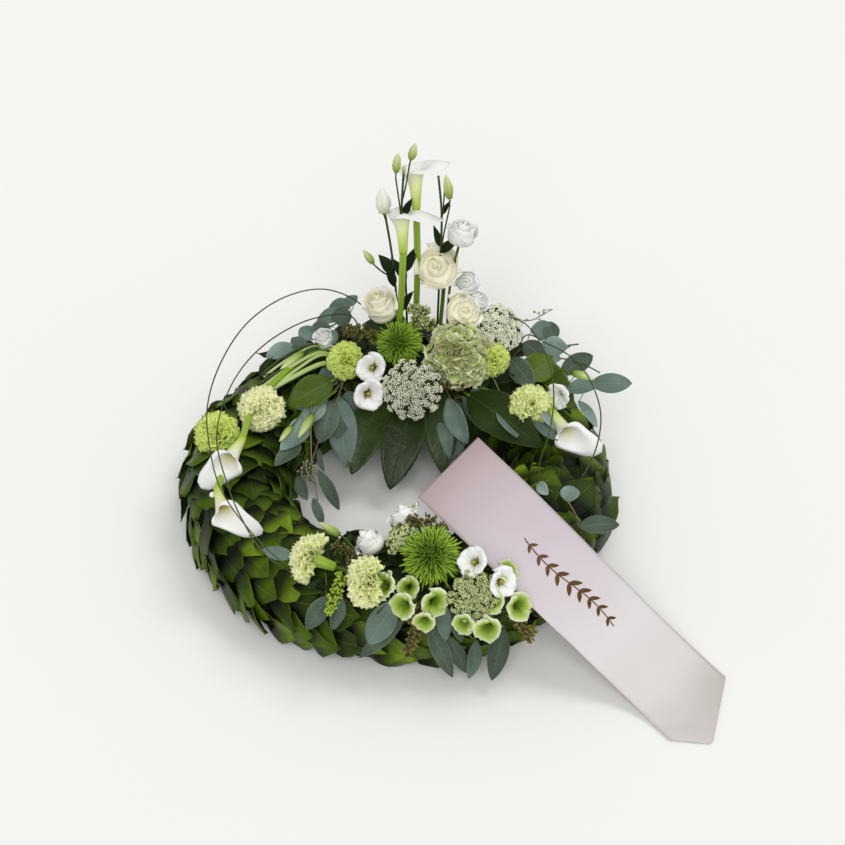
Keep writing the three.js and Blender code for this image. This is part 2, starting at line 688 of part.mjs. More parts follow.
const GREENERY = {
  eucalyptus_back_left: () => eucalyptus({
    route: [[-38, 178, STEM_DEPTH], [-70, 196, 130], [-108, 196, 138], [-128, 184, 122]], leaves: 6,
  }),
  eucalyptus_hole_left: () => eucalyptus({
    route: [[-50, 160, STEM_DEPTH], [-66, 124, 122], [-84, 70, 118], [-84, 40, 104]],
    leaves: 6, length: 48, width: 20,
  }),
  eucalyptus_hole_hanging: () => eucalyptus({
    route: [[-96, 140, STEM_DEPTH], [-110, 84, 116], [-104, 26, 104], [-92, -14, 70]],
    leaves: 5, length: 44, width: 15,
  }),
  eucalyptus_hole_middle: () => eucalyptus({
    route: [[44, 164, STEM_DEPTH], [50, 118, 110], [48, 76, 103], [46, 52, 90]],
    leaves: 6, length: 44, width: 19,
  }),
  eucalyptus_right_front: () => eucalyptus({
    route: [[112, 134, STEM_DEPTH], [118, 100, 118], [136, 72, 116], [140, 44, 108]],
    leaves: 5, length: 46, width: 19,
  }),
  eucalyptus_right_back: () => eucalyptus({
    route: [[120, 148, STEM_DEPTH], [146, 142, 128], [190, 136, 140], [232, 122, 126]],
    leaves: 6, length: 44, width: 20,
  }),
  eucalyptus_right_low: () => eucalyptus({
    route: [[172, -50, STEM_DEPTH], [188, -72, 108], [206, -86, 94]], leaves: 3, length: 42, width: 17,
  }),
  eucalyptus_front_left: () => eucalyptus({
    route: [[-70, -168, STEM_DEPTH], [-62, -204, 114], [-44, -236, 92], [-34, -252, 72]],
    leaves: 6, length: 44, width: 20,
  }),
  eucalyptus_front_right: () => eucalyptus({
    route: [[56, -176, STEM_DEPTH], [62, -224, 92], [72, -248, 66], [80, -256, 48]],
    leaves: 6, length: 42, width: 18, spread: 40,
  }),
  glossy_leaf_hole: () => leaf(
    vector([28, 124, 98]), vector([10, 26, 24]), 46, { arch: 6, fullness: 1.3 },
  ),
  glossy_leaf_hole_left: () => leaf(
    vector([-22, 128, 98]), vector([-48, 32, 46]), 44, { arch: 6, fullness: 1.3 },
  ),
  glossy_leaf_right: () => leaf(
    vector([150, 128, 112]), vector([206, 66, 112]), 56, { arch: 8, fullness: 1.3 },
  ),
};

const RING_PARTS = {
  pearl_pin_left: () => pin([-203, -90, 116]),
  pearl_pin_front: () => pin([-76, -186, 108]),
  leaf_coat_right: () => coatStretch(-90, 120, 12, 8).subtract(plantingWindow(-86, -50)),
  leaf_coat_back: () => coatStretch(30, 120, 12, 8).subtract(plantingWindow(34, 130)),
  leaf_coat_left: () => coatStretch(150, 120, 12, 8).subtract(plantingWindow(236, 266)),
  foam_ring: () => foam(),
  base_tray: () => tray(),
};

// ---- finishes -----------------------------------------------------------------------------
const finish = (color, roughness, metalness = 0) => ({ color, roughness, metalness });
const FINISHES = [
  [/^base_tray/, finish('#15201a', 0.5)],
  [/^foam_ring/, finish('#3e6f4c', 0.95)],
  [/^leaf_coat/, finish('#35591a', 0.42)],
  [/^glossy_leaf/, finish('#1f3f16', 0.3)],
  [/^eucalyptus/, finish('#5f7d74', 0.6)],
  [/^grass_loop/, finish('#3c4a26', 0.5)],
  [/^satin_ribbon/, finish('#e6dbdd', 0.32)],
  [/^pearl_pin/, finish('#e9e6df', 0.2, 0.1)],
  [/^rose/, finish('#f4efd2', 0.6)],
  [/^lisianthus|^calla/, finish('#f4f2f2', 0.5)],
  [/^carnation/, finish('#dfe79c', 0.65)],
  [/^chrysanthemum/, finish('#6fa51c', 0.6)],
  [/^hydrangea|^green_bells/, finish('#a9c26a', 0.6)],
  [/^trachelium|^sedum/, finish('#b9bf97', 0.75)],
  [/^bud_spray/, finish('#a8bd6c', 0.5)],
  [/^seed_cluster/, finish('#7c6b30', 0.7)],
];

function materialFor(name) {
  const found = FINISHES.find(([pattern]) => pattern.test(name));
  return new THREE.MeshStandardMaterial(found[1]);
}

// ---- assembly -----------------------------------------------------------------------------
const FLOWER_PIECES = Object.fromEntries(
  Object.entries(FLOWERS).map(([name, [head, place]]) => [name, () => flower(head, place)]),
);
const FAMILIES = [
  ['long_pieces', LONG_PIECES], ['flowers', FLOWER_PIECES], ['clusters', CLUSTERS],
  ['greenery', GREENERY], ['ring', RING_PARTS],
];

// Pieces are settled in order: each makes room for all those that were settled before it
function settle(solid, settled) {
  let rest = solid;
  for (const keepOut of settled) {
    if (boxesMeet(rest, keepOut)) rest = rest.subtract(keepOut);
  }
  rest = largestBody(rest.simplify(SMALLEST_STEP));
  settled.push(swollen(rest));
  return rest;
}

// A mesh whose own origin is the middle of its box
function meshOf(name, solid) {
  const geometry = geometryOf(solid);
  geometry.computeBoundingBox();
  const middle = geometry.boundingBox.getCenter(new THREE.Vector3());
  geometry.translate(-middle.x, -middle.y, -middle.z);
  const mesh = new THREE.Mesh(geometry, materialFor(name));
  mesh.name = name;
  mesh.position.copy(middle);
  return mesh;
}

const wreath = new THREE.Group();
wreath.name = 'memorial_wreath';
const settled = [];
for (const [family, makers] of FAMILIES) {
  const group = new THREE.Group();
  group.name = family;
  for (const [name, make] of Object.entries(makers)) group.add(meshOf(name, settle(make(), settled)));
  wreath.add(group);
}

// The origin is the middle of the underside of the whole wreath's box
const bounds = new THREE.Box3().setFromObject(wreath);
const middle = bounds.getCenter(new THREE.Vector3());
wreath.position.set(-middle.x, -middle.y, -bounds.min.z);
wreath.updateMatrixWorld(true);

export default wreath;
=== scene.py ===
import math

import bpy
import numpy as np
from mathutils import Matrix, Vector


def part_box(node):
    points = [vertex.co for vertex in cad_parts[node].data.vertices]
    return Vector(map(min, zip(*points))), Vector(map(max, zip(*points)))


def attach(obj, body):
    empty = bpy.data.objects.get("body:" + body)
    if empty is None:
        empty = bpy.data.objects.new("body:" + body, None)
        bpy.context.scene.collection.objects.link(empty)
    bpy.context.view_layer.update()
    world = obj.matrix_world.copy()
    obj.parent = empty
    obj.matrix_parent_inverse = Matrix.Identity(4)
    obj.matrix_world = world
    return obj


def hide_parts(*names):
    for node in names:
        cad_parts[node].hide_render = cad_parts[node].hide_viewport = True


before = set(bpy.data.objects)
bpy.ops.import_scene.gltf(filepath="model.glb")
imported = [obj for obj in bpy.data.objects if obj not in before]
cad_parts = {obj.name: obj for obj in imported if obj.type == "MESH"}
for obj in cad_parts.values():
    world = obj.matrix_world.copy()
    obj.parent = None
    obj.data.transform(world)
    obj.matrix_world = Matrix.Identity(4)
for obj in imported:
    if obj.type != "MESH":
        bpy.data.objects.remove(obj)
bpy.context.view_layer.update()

# The memorial wreath's looks. Sizes are in millimetres and places are measured from the middle of
# the ring on the resting surface, as in the part's own source, and become metres in Piece.make().

tray_low, tray_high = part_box("base_tray")
ORIGIN = np.array([(tray_low.x + tray_high.x) / 2, (tray_low.y + tray_high.y) / 2, 0.0])
MM = 0.001

RING_RADIUS = 184       # middle of the ring's section, from the middle of the hole
RING_HALF_WIDTH = 64    # leaf coat, across the section
RING_HEIGHT = 104       # top of the leaf coat
SHOULDER = 50           # height at which the section is widest
COAT_FOOT = 4           # the lowest leaves stop short of the resting surface
COAT_FOOT_HALF = 50
STEM_DEPTH = 64         # height at which the cut ends sit in the foam
GOLDEN = math.pi * (3 - math.sqrt(5))
UP = np.array([0.0, 0.0, 1.0])
VIEWER = np.array([0.0, -0.6, 0.8])   # most leaves and flowers turn this way


# ---- small geometry helpers ---------------------------------------------------------------
def unit(vectors):
    vectors = np.asarray(vectors, float)
    return vectors / np.maximum(np.linalg.norm(vectors, axis=-1, keepdims=True), 1e-9)


def smooth(value, low, high):
    step = np.clip((value - low) / (high - low), 0, 1)
    return step * step * (3 - 2 * step)


def leaning(lean, toward):
    tilt, turn = math.radians(lean), math.radians(toward)
    return np.array([math.sin(tilt) * math.cos(turn), math.sin(tilt) * math.sin(turn), math.cos(tilt)])


def level(turn):
    """The level way at an angle from +X"""
    return np.array([math.cos(turn), math.sin(turn), 0.0])


def basis(z, x):
    """Matrices whose columns are the own X, Y and Z of things with this Z and about this X"""
    z = unit(z)
    x = np.asarray(x, float)
    x = unit(x - (x * z).sum(-1, keepdims=True) * z)
    return np.stack([x, np.cross(z, x), z], axis=-1)


def any_side(z):
    z = np.asarray(z, float)
    spare = np.where(np.abs(z[..., 2:3]) < 0.9, UP, np.array([1.0, 0.0, 0.0]))
    return np.cross(spare, z)


def rotated(vectors, axis, angle):
    axis = unit(axis)
    c, s = math.cos(angle), math.sin(angle)
    return vectors * c + np.cross(axis, vectors) * s + axis * (vectors @ axis)[..., None] * (1 - c)


def curve(route, count):
    """Points spaced evenly along the smooth centripetal curve through the route"""
    knots = np.array(route, float)
    ends = 2 * knots[0] - knots[1], 2 * knots[-1] - knots[-2]
    p = np.vstack([ends[0], knots, ends[1]])
    dense = []
    for i in range(1, len(p) - 2):
        a, b, c, d = p[i - 1], p[i], p[i + 1], p[i + 2]
        t = np.cumsum([0] + [math.sqrt(np.linalg.norm(y - x)) for x, y in ((a, b), (b, c), (c, d))])
        for s in np.linspace(t[1], t[2], 20, endpoint=False):
            ab = a + (b - a) * (s - t[0]) / (t[1] - t[0])
            bc = b + (c - b) * (s - t[1]) / (t[2] - t[1])
            cd = c + (d - c) * (s - t[2]) / (t[3] - t[2])
            abc = ab + (bc - ab) * (s - t[0]) / (t[2] - t[0])
            bcd = bc + (cd - bc) * (s - t[1]) / (t[3] - t[1])
            dense.append(abc + (bcd - abc) * (s - t[1]) / (t[2] - t[1]))
    dense = np.array(dense + [p[-2]])
    length = np.concatenate([[0], np.cumsum(np.linalg.norm(np.diff(dense, axis=0), axis=1))])
    even = np.linspace(0, length[-1], count)
    return np.stack([np.interp(even, length, dense[:, k]) for k in range(3)], axis=1)


def tangents(path):
    return unit(np.gradient(path, axis=0))


def grid_normals(grid):
    return unit(np.cross(np.gradient(grid, axis=0), np.gradient(grid, axis=1)))


# ---- one visible piece --------------------------------------------------------------------
class Piece:
    """Gathers patches and tubes. Each point has a tint: chance (one number for each petal or
    leaf), along, across and under (1 on an underside), and a depth from 0 at the heart to 1."""

    def __init__(self):
        self.points, self.tints, self.depths, self.faces, self.looks = [], [], [], [], []
        self.count = 0

    def add(self, points, faces, tints, depths, look):
        for block in faces:
            block = np.asarray(block)
            self.faces.append(block + self.count)
            self.looks.append(np.full(len(block), look) if np.isscalar(look) else look)
        self.points.append(points)
        self.tints.append(tints)
        self.depths.append(depths)
        self.count += len(points)

    def shell(self, grid, thickness=0.5, chance=0.5, depth=0.5, look=0):
        """A thin closed skin around a grid of points, thinner at its rim"""
        rows, columns = grid.shape[:2]
        total = rows * columns
        half = np.full((rows, columns, 1), thickness / 2)
        half[0], half[-1], half[:, 0], half[:, -1] = [thickness / 5] * 4
        normal = grid_normals(grid) * half
        points = np.concatenate([(grid + normal).reshape(-1, 3), (grid - normal).reshape(-1, 3)])
        index = np.arange(total).reshape(rows, columns)
        corners = [index[:-1, :-1], index[1:, :-1], index[1:, 1:], index[:-1, 1:]]
        top = np.stack(corners, -1).reshape(-1, 4)
        border = np.concatenate([index[0, :-1], index[:-1, -1], index[-1, :0:-1], index[:0:-1, 0]])
        after = np.roll(border, -1)
        rim = np.stack([border, after, after + total, border + total], -1)
        tints = np.empty((2, rows, columns, 4))
        tints[..., 0] = chance
        tints[..., 1] = np.linspace(0, 1, rows)[:, None]
        tints[..., 2] = np.linspace(0, 1, columns)[None, :]
        tints[0, ..., 3], tints[1, ..., 3] = 0, 1
        depths = np.full(2 * total, depth)
        self.add(points, [top, top[:, ::-1] + total, rim], tints.reshape(-1, 4), depths, look)

    def rings(self, grid, low, high, chance, depth, look):
        """Walls through rings of points, closed by a fan to one more point at each end"""
        count, sides = grid.shape[:2]
        points = np.vstack([grid.reshape(-1, 3), low, high])
        index = np.arange(count * sides).reshape(count, sides)
        after = np.roll(index, -1, axis=1)
        walls = np.stack([index[:-1], after[:-1], after[1:], index[1:]], -1).reshape(-1, 4)
        first = np.stack([after[0], index[0], np.full(sides, count * sides)], -1)
        last = np.stack([index[-1], after[-1], np.full(sides, count * sides + 1)], -1)
        tints = np.zeros((len(points), 4))
        tints[:, 0] = chance
        tints[:-2, 1] = np.repeat(np.linspace(0, 1, count), sides)
        tints[-1, 1] = 1
        tints[:-2, 2] = np.tile(np.linspace(0, 1, sides), count)
        self.add(points, [walls, first, last], tints, np.full(len(points), depth), look)

    def tube(self, path, radius, sides=5, chance=0.5, depth=0.5, look=0):
        """A closed tube along a path"""
        path = np.asarray(path, float)
        count = len(path)
        radius = np.broadcast_to(radius, count)
        way = tangents(path)
        side = unit(any_side(way[0]))
        ring = []
        for i in range(count):
            side = unit(side - way[i] * (side @ way[i]))
            ring.append(side)
        side = np.array(ring)
        other = np.cross(way, side)
        turn = np.linspace(0, 2 * math.pi, sides, endpoint=False)
        spokes = side[:, None] * np.cos(turn)[:, None] + other[:, None] * np.sin(turn)[:, None]
        points = path[:, None] + spokes * radius[:, None, None]
        self.rings(points, path[0], path[-1], chance, depth, look)

    def lathe(self, profile, sides, swell=None, chance=0.5, look=0):
        """A turned closed shape on its own Z from (radius, height) pairs, base first"""
        profile = np.array(profile, float)
        turn = np.linspace(0, 2 * math.pi, sides, endpoint=False)
        reach = profile[:, :1] * (1 if swell is None else swell(turn[None], profile[:, 1:2]))
        spots = [reach * np.cos(turn), reach * np.sin(turn), profile[:, 1:2] + 0 * turn]
        low, high = [0, 0, profile[0, 1]], [0, 0, profile[-1, 1]]
        self.rings(np.stack(spots, -1), low, high, chance, 0.5, look)

    def stamp(self, template, matrices, places, chances=None, depths=None, look=None):
        """Copies of another piece, each turned and scaled by its matrix and moved to its place.
        Given chances or depths stand in for the template's own."""
        matrices, places = np.atleast_3d(matrices), np.atleast_2d(places)
        if matrices.shape[0] == 3 and matrices.ndim == 3 and len(places) == 1:
            matrices = np.asarray(matrices).reshape(1, 3, 3)
        points = np.vstack(template.points)
        tints, own = np.vstack(template.tints), np.concatenate(template.depths)
        copies, each = len(places), len(points)
        moved = np.einsum("kij,nj->kni", matrices, points) + places[:, None]
        many = np.repeat(tints[None], copies, axis=0)
        deep = np.repeat(own[None], copies, axis=0)
        if chances is not None:
            many[..., 0] = np.asarray(chances)[:, None]
        if depths is not None:
            deep[:] = np.asarray(depths)[:, None]
        step = (np.arange(copies) * each)[:, None, None]
        for block, looks in zip(template.faces, template.looks):
            spread = (block[None] + step).reshape(-1, block.shape[1]) + self.count
            self.faces.append(spread)
            self.looks.append(np.tile(looks, copies) if look is None else np.full(len(spread), look))
        self.points.append(moved.reshape(-1, 3))
        self.tints.append(many.reshape(-1, 4))
        self.depths.append(deep.reshape(-1))
        self.count += copies * each

    def scatter(self, template, spots, ways, scale, rng):
        """Copies of another piece, each turned its own way, with a chance and a depth of its own"""
        spots, ways = np.array(spots), np.array(ways)
        matrices = basis(ways, any_side(ways)) * scale[:, None, None]
        count = len(spots)
        self.stamp(template, matrices, spots, rng.uniform(0, 1, count), rng.uniform(0, 1, count), 0)

    def make(self, name, looks, replaces=None):
        name = name + "_dressed"
        mesh = bpy.data.meshes.new(name)
        points = np.vstack(self.points) * MM + ORIGIN
        faces = [face for block in self.faces for face in block.tolist()]
        mesh.from_pydata(points.tolist(), [], faces)
        for look in looks:
            mesh.materials.append(look)
        mesh.polygons.foreach_set("material_index", np.concatenate(self.looks).astype(np.int32))
        mesh.polygons.foreach_set("use_smooth", np.ones(len(faces), bool))
        tint = mesh.attributes.new("tint", "FLOAT_COLOR", "POINT")
        tint.data.foreach_set("color", np.vstack(self.tints).astype(np.float32).ravel())
        depth = mesh.attributes.new("depth", "FLOAT", "POINT")
        depth.data.foreach_set("value", np.concatenate(self.depths).astype(np.float32))
        mesh.update()
        made = bpy.data.objects.new(name, mesh)
        bpy.context.scene.collection.objects.link(made)
        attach(made, "root")
        if replaces:
            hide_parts(replaces)
        return made


# ---- materials ----------------------------------------------------------------------------
def srgb(code):
    channels = [int(code[i:i + 2], 16) / 255 for i in (1, 3, 5)]
    linear = [c / 12.92 if c <= 0.04045 else ((c + 0.055) / 1.055) ** 2.4 for c in channels]
    return (*linear, 1.0)


class Look:
    """One procedural material around a Principled shader"""

    def __init__(self, name, roughness=0.5, **sockets):
        self.material = bpy.data.materials.new(name)
        self.material.use_nodes = True
        self.nodes = self.material.node_tree.nodes
        self.links = self.material.node_tree.links
        self.shader = self.nodes["Principled BSDF"]
        self.shader.inputs["Roughness"].default_value = roughness
        self.shader.inputs["Specular IOR Level"].default_value = 0.2
        for socket, value in sockets.items():
            self.shader.inputs[socket.replace("_", " ")].default_value = value
        tint = self.nodes.new("ShaderNodeAttribute")
        tint.attribute_name = "tint"
        parts = self.nodes.new("ShaderNodeSeparateColor")
        self.links.new(tint.outputs["Color"], parts.inputs[0])
        self.chance, self.along, self.across = parts.outputs
        self.under = tint.outputs["Alpha"]
        deep = self.nodes.new("ShaderNodeAttribute")
        deep.attribute_name = "depth"
        self.depth = deep.outputs["Fac"]
        self.place = self.nodes.new("ShaderNodeTexCoord").outputs["Object"]

    def put(self, socket, value):
        if isinstance(value, bpy.types.NodeSocket):
            self.links.new(value, socket)
        else:
            socket.default_value = value

    def math(self, operation, *values, clamp=False):
        node = self.nodes.new("ShaderNodeMath")
        node.operation = operation
        node.use_clamp = clamp
        for socket, value in zip(node.inputs, values):
            self.put(socket, value)
        return node.outputs[0]

    def times(self, one, other):
        return self.math("MULTIPLY", one, other)

    def plus(self, one, other):
        return self.math("ADD", one, other)

    def off_middle(self):
        """0 on the middle line of a leaf or strip and 1 on its two edges"""
        return self.math("ABSOLUTE", self.math("SUBTRACT", self.times(self.across, 2), 1))

    def mix(self, factor, one, other, blend="MIX"):
        node = self.nodes.new("ShaderNodeMix")
        node.data_type = "RGBA"
        node.blend_type = blend
        self.put(node.inputs[0], factor)
        self.put(node.inputs[6], srgb(one) if isinstance(one, str) else one)
        self.put(node.inputs[7], srgb(other) if isinstance(other, str) else other)
        return node.outputs[2]

    def band(self, value, low, high):
        """0 where the value is at its low end and 1 at its high end, smooth between"""
        node = self.nodes.new("ShaderNodeMapRange")
        node.interpolation_type = "SMOOTHSTEP"
        for socket, number in zip(node.inputs, (value, low, high)):
            self.put(socket, number)
        return node.outputs[0]

    def ramp(self, value, *stops):
        node = self.nodes.new("ShaderNodeValToRGB")
        self.put(node.inputs[0], value)
        points = node.color_ramp.elements
        while len(points) < len(stops):
            points.new(0.5)
        for point, (at, code) in zip(points, stops):
            point.position = at
            point.color = srgb(code)
        return node.outputs[0]

    def noise(self, scale, detail=2.0, stretch=None):
        where = self.place
        if stretch:
            mapping = self.nodes.new("ShaderNodeMapping")
            self.put(mapping.inputs["Vector"], where)
            mapping.inputs["Scale"].default_value = stretch
            where = mapping.outputs[0]
        node = self.nodes.new("ShaderNodeTexNoise")
        self.put(node.inputs["Vector"], where)
        node.inputs["Scale"].default_value = scale
        node.inputs["Detail"].default_value = detail
        return node.outputs["Fac"]

    def finish(self, colour, height=None, distance=0.001, strength=0.6, rough=None):
        self.shader.inputs["Subsurface Radius"].default_value = (1.0, 0.9, 0.7)
        self.shader.inputs["Subsurface Scale"].default_value = 0.002
        self.put(self.shader.inputs["Base Color"], colour)
        if rough is not None:
            self.put(self.shader.inputs["Roughness"], rough)
        if height is not None:
            bump = self.nodes.new("ShaderNodeBump")
            bump.inputs["Strength"].default_value = strength
            bump.inputs["Distance"].default_value = distance
            self.put(bump.inputs["Height"], height)
            self.put(self.shader.inputs["Normal"], bump.outputs[0])
        return self.material


def leaf_look(name, shades, vein, under, roughness, pairs=6, slant=1.4, midrib=0.07,
              vein_share=0.55, patch_scale=55, covered=0.0, **sockets):
    """Leaf blade: shades from dark to light by chance and patches, a midrib and pairs of veins, and with
    covered a painted shade over its base where the leaf above covers it
    """
    look = Look(name, roughness, **sockets)
    patch = look.noise(patch_scale, 3)
    mood = look.plus(look.times(look.chance, 0.6), look.times(patch, 0.75))
    mood = look.math("SUBTRACT", mood, 0.17, clamp=True)
    stops = [(i / (len(shades) - 1), code) for i, code in enumerate(shades)]
    colour = look.ramp(mood, *stops)
    side = look.off_middle()
    rib = look.band(side, midrib, 0.0)
    beat = look.math("SUBTRACT", look.times(look.along, pairs), look.times(side, slant))
    wave = look.math("ABSOLUTE", look.math("SUBTRACT", look.math("FRACT", beat), 0.5))
    branch = look.times(look.band(wave, 0.42, 0.5), look.band(side, 1.0, 0.2))
    lines = look.math("MAXIMUM", rib, look.times(branch, vein_share))
    colour = look.mix(look.times(lines, vein_share), colour, vein)
    edge = look.band(side, 0.9, 1.0)
    colour = look.mix(look.times(edge, 0.35), colour, vein)
    # painted shade: the base of the leaf, where the leaf above overlaps it, is darkened towards near-black
    # green
    if covered:
        foot = look.times(look.band(look.along, 0.72, 0.25), covered)
        colour = look.mix(foot, colour, "#141c04", "MULTIPLY")
    colour = look.mix(look.under, colour, under)
    fine = look.noise(700, 2)
    height = look.plus(look.times(lines, -0.8), look.times(fine, 0.35))
    height = look.plus(height, look.times(look.noise(160, 2), 0.9))
    rough = look.plus(roughness - 0.1, look.times(patch, 0.22))
    return look.finish(colour, height, 0.0012, 0.55, rough)


def petal_look(name, base, middle, tip, heart=None, heart_share=0.5, roughness=0.55, streaks=26,
               streak_share=0.12, shade="#8f9a6a", blush=None, blush_share=0.0, strength=0.4,
               middle_at=0.45, vary=0.16, under=None, inner=None, **sockets):
    """Petal: colours from its base to its tip, fine streaks along it, deeper in the heart"""
    look = Look(name, roughness, **sockets)
    colour = look.ramp(look.along, (0.0, base), (middle_at, middle), (1.0, tip))
    if under:
        inside = look.ramp(look.along, (0.0, under), (middle_at, under),
                           (min(middle_at + 0.2, 0.9), inner or middle), (1.0, tip))
        colour = look.mix(look.under, colour, inside)
    if heart:
        share = look.band(look.depth, 0.75, 0.0)
        colour = look.mix(look.times(share, heart_share), colour, heart)
    if blush:
        spot = look.band(look.plus(look.chance, look.times(look.noise(60), 0.6)), 0.75, 1.3)
        colour = look.mix(look.times(spot, blush_share), colour, blush)
    wave = look.math("SINE", look.times(look.across, streaks * 2 * math.pi))
    line = look.times(look.band(wave, 0.2, 1.0), streak_share)
    colour = look.mix(line, colour, shade)
    colour = look.mix(look.times(look.chance, vary), colour, shade, "MULTIPLY")
    height = look.plus(look.times(wave, 0.25), look.times(look.noise(420, 3), 0.8))
    return look.finish(colour, height, 0.0008, strength)


LEAF_LOOKS = {
    # ivy: covered paints shade over the covered base of each leaf
    "ivy": (["ivy_leaf", ["#172402", "#304503", "#4f670a", "#84a024"], "#76863a", "#434f22", 0.4], dict(
        pairs=4.5, slant=2.0, vein_share=0.35, patch_scale=42, covered=0.95, Specular_IOR_Level=0.12)),
    # painted shade: the near-black sheet under the ivy leaves
    "underlay": (["ivy_underlay", ["#0a0f03", "#121a05", "#1a2208"], "#1a2208", "#0a0f03", 0.9], dict()),
    "glossy": (["glossy_leaf", ["#151f08", "#24340e", "#3a4d1a"], "#536834", "#4c5a36", 0.26], dict(
        pairs=8, slant=1.7, vein_share=0.3, patch_scale=30)),
    "broad": (["broad_leaf", ["#2c3e08", "#455c10", "#667f22"], "#84964c", "#5f6c40", 0.34], dict(
        pairs=7, slant=1.7, vein_share=0.4, patch_scale=34)),
    "filler": (["filler_leaf", ["#0e1a06", "#1a2b0a", "#2c4411"], "#3f5722", "#26361a", 0.5], dict(
        pairs=6, slant=1.5, vein_share=0.3, patch_scale=40)),
    "eucalyptus": ([
        "eucalyptus_leaf", ["#2f3b2d", "#485848", "#6a7f75", "#a3b9af"], "#a3b09c", "#8c9a88", 0.5,
    ], dict(
        pairs=9, slant=1.0, midrib=0.055, vein_share=0.4, patch_scale=30)),
}
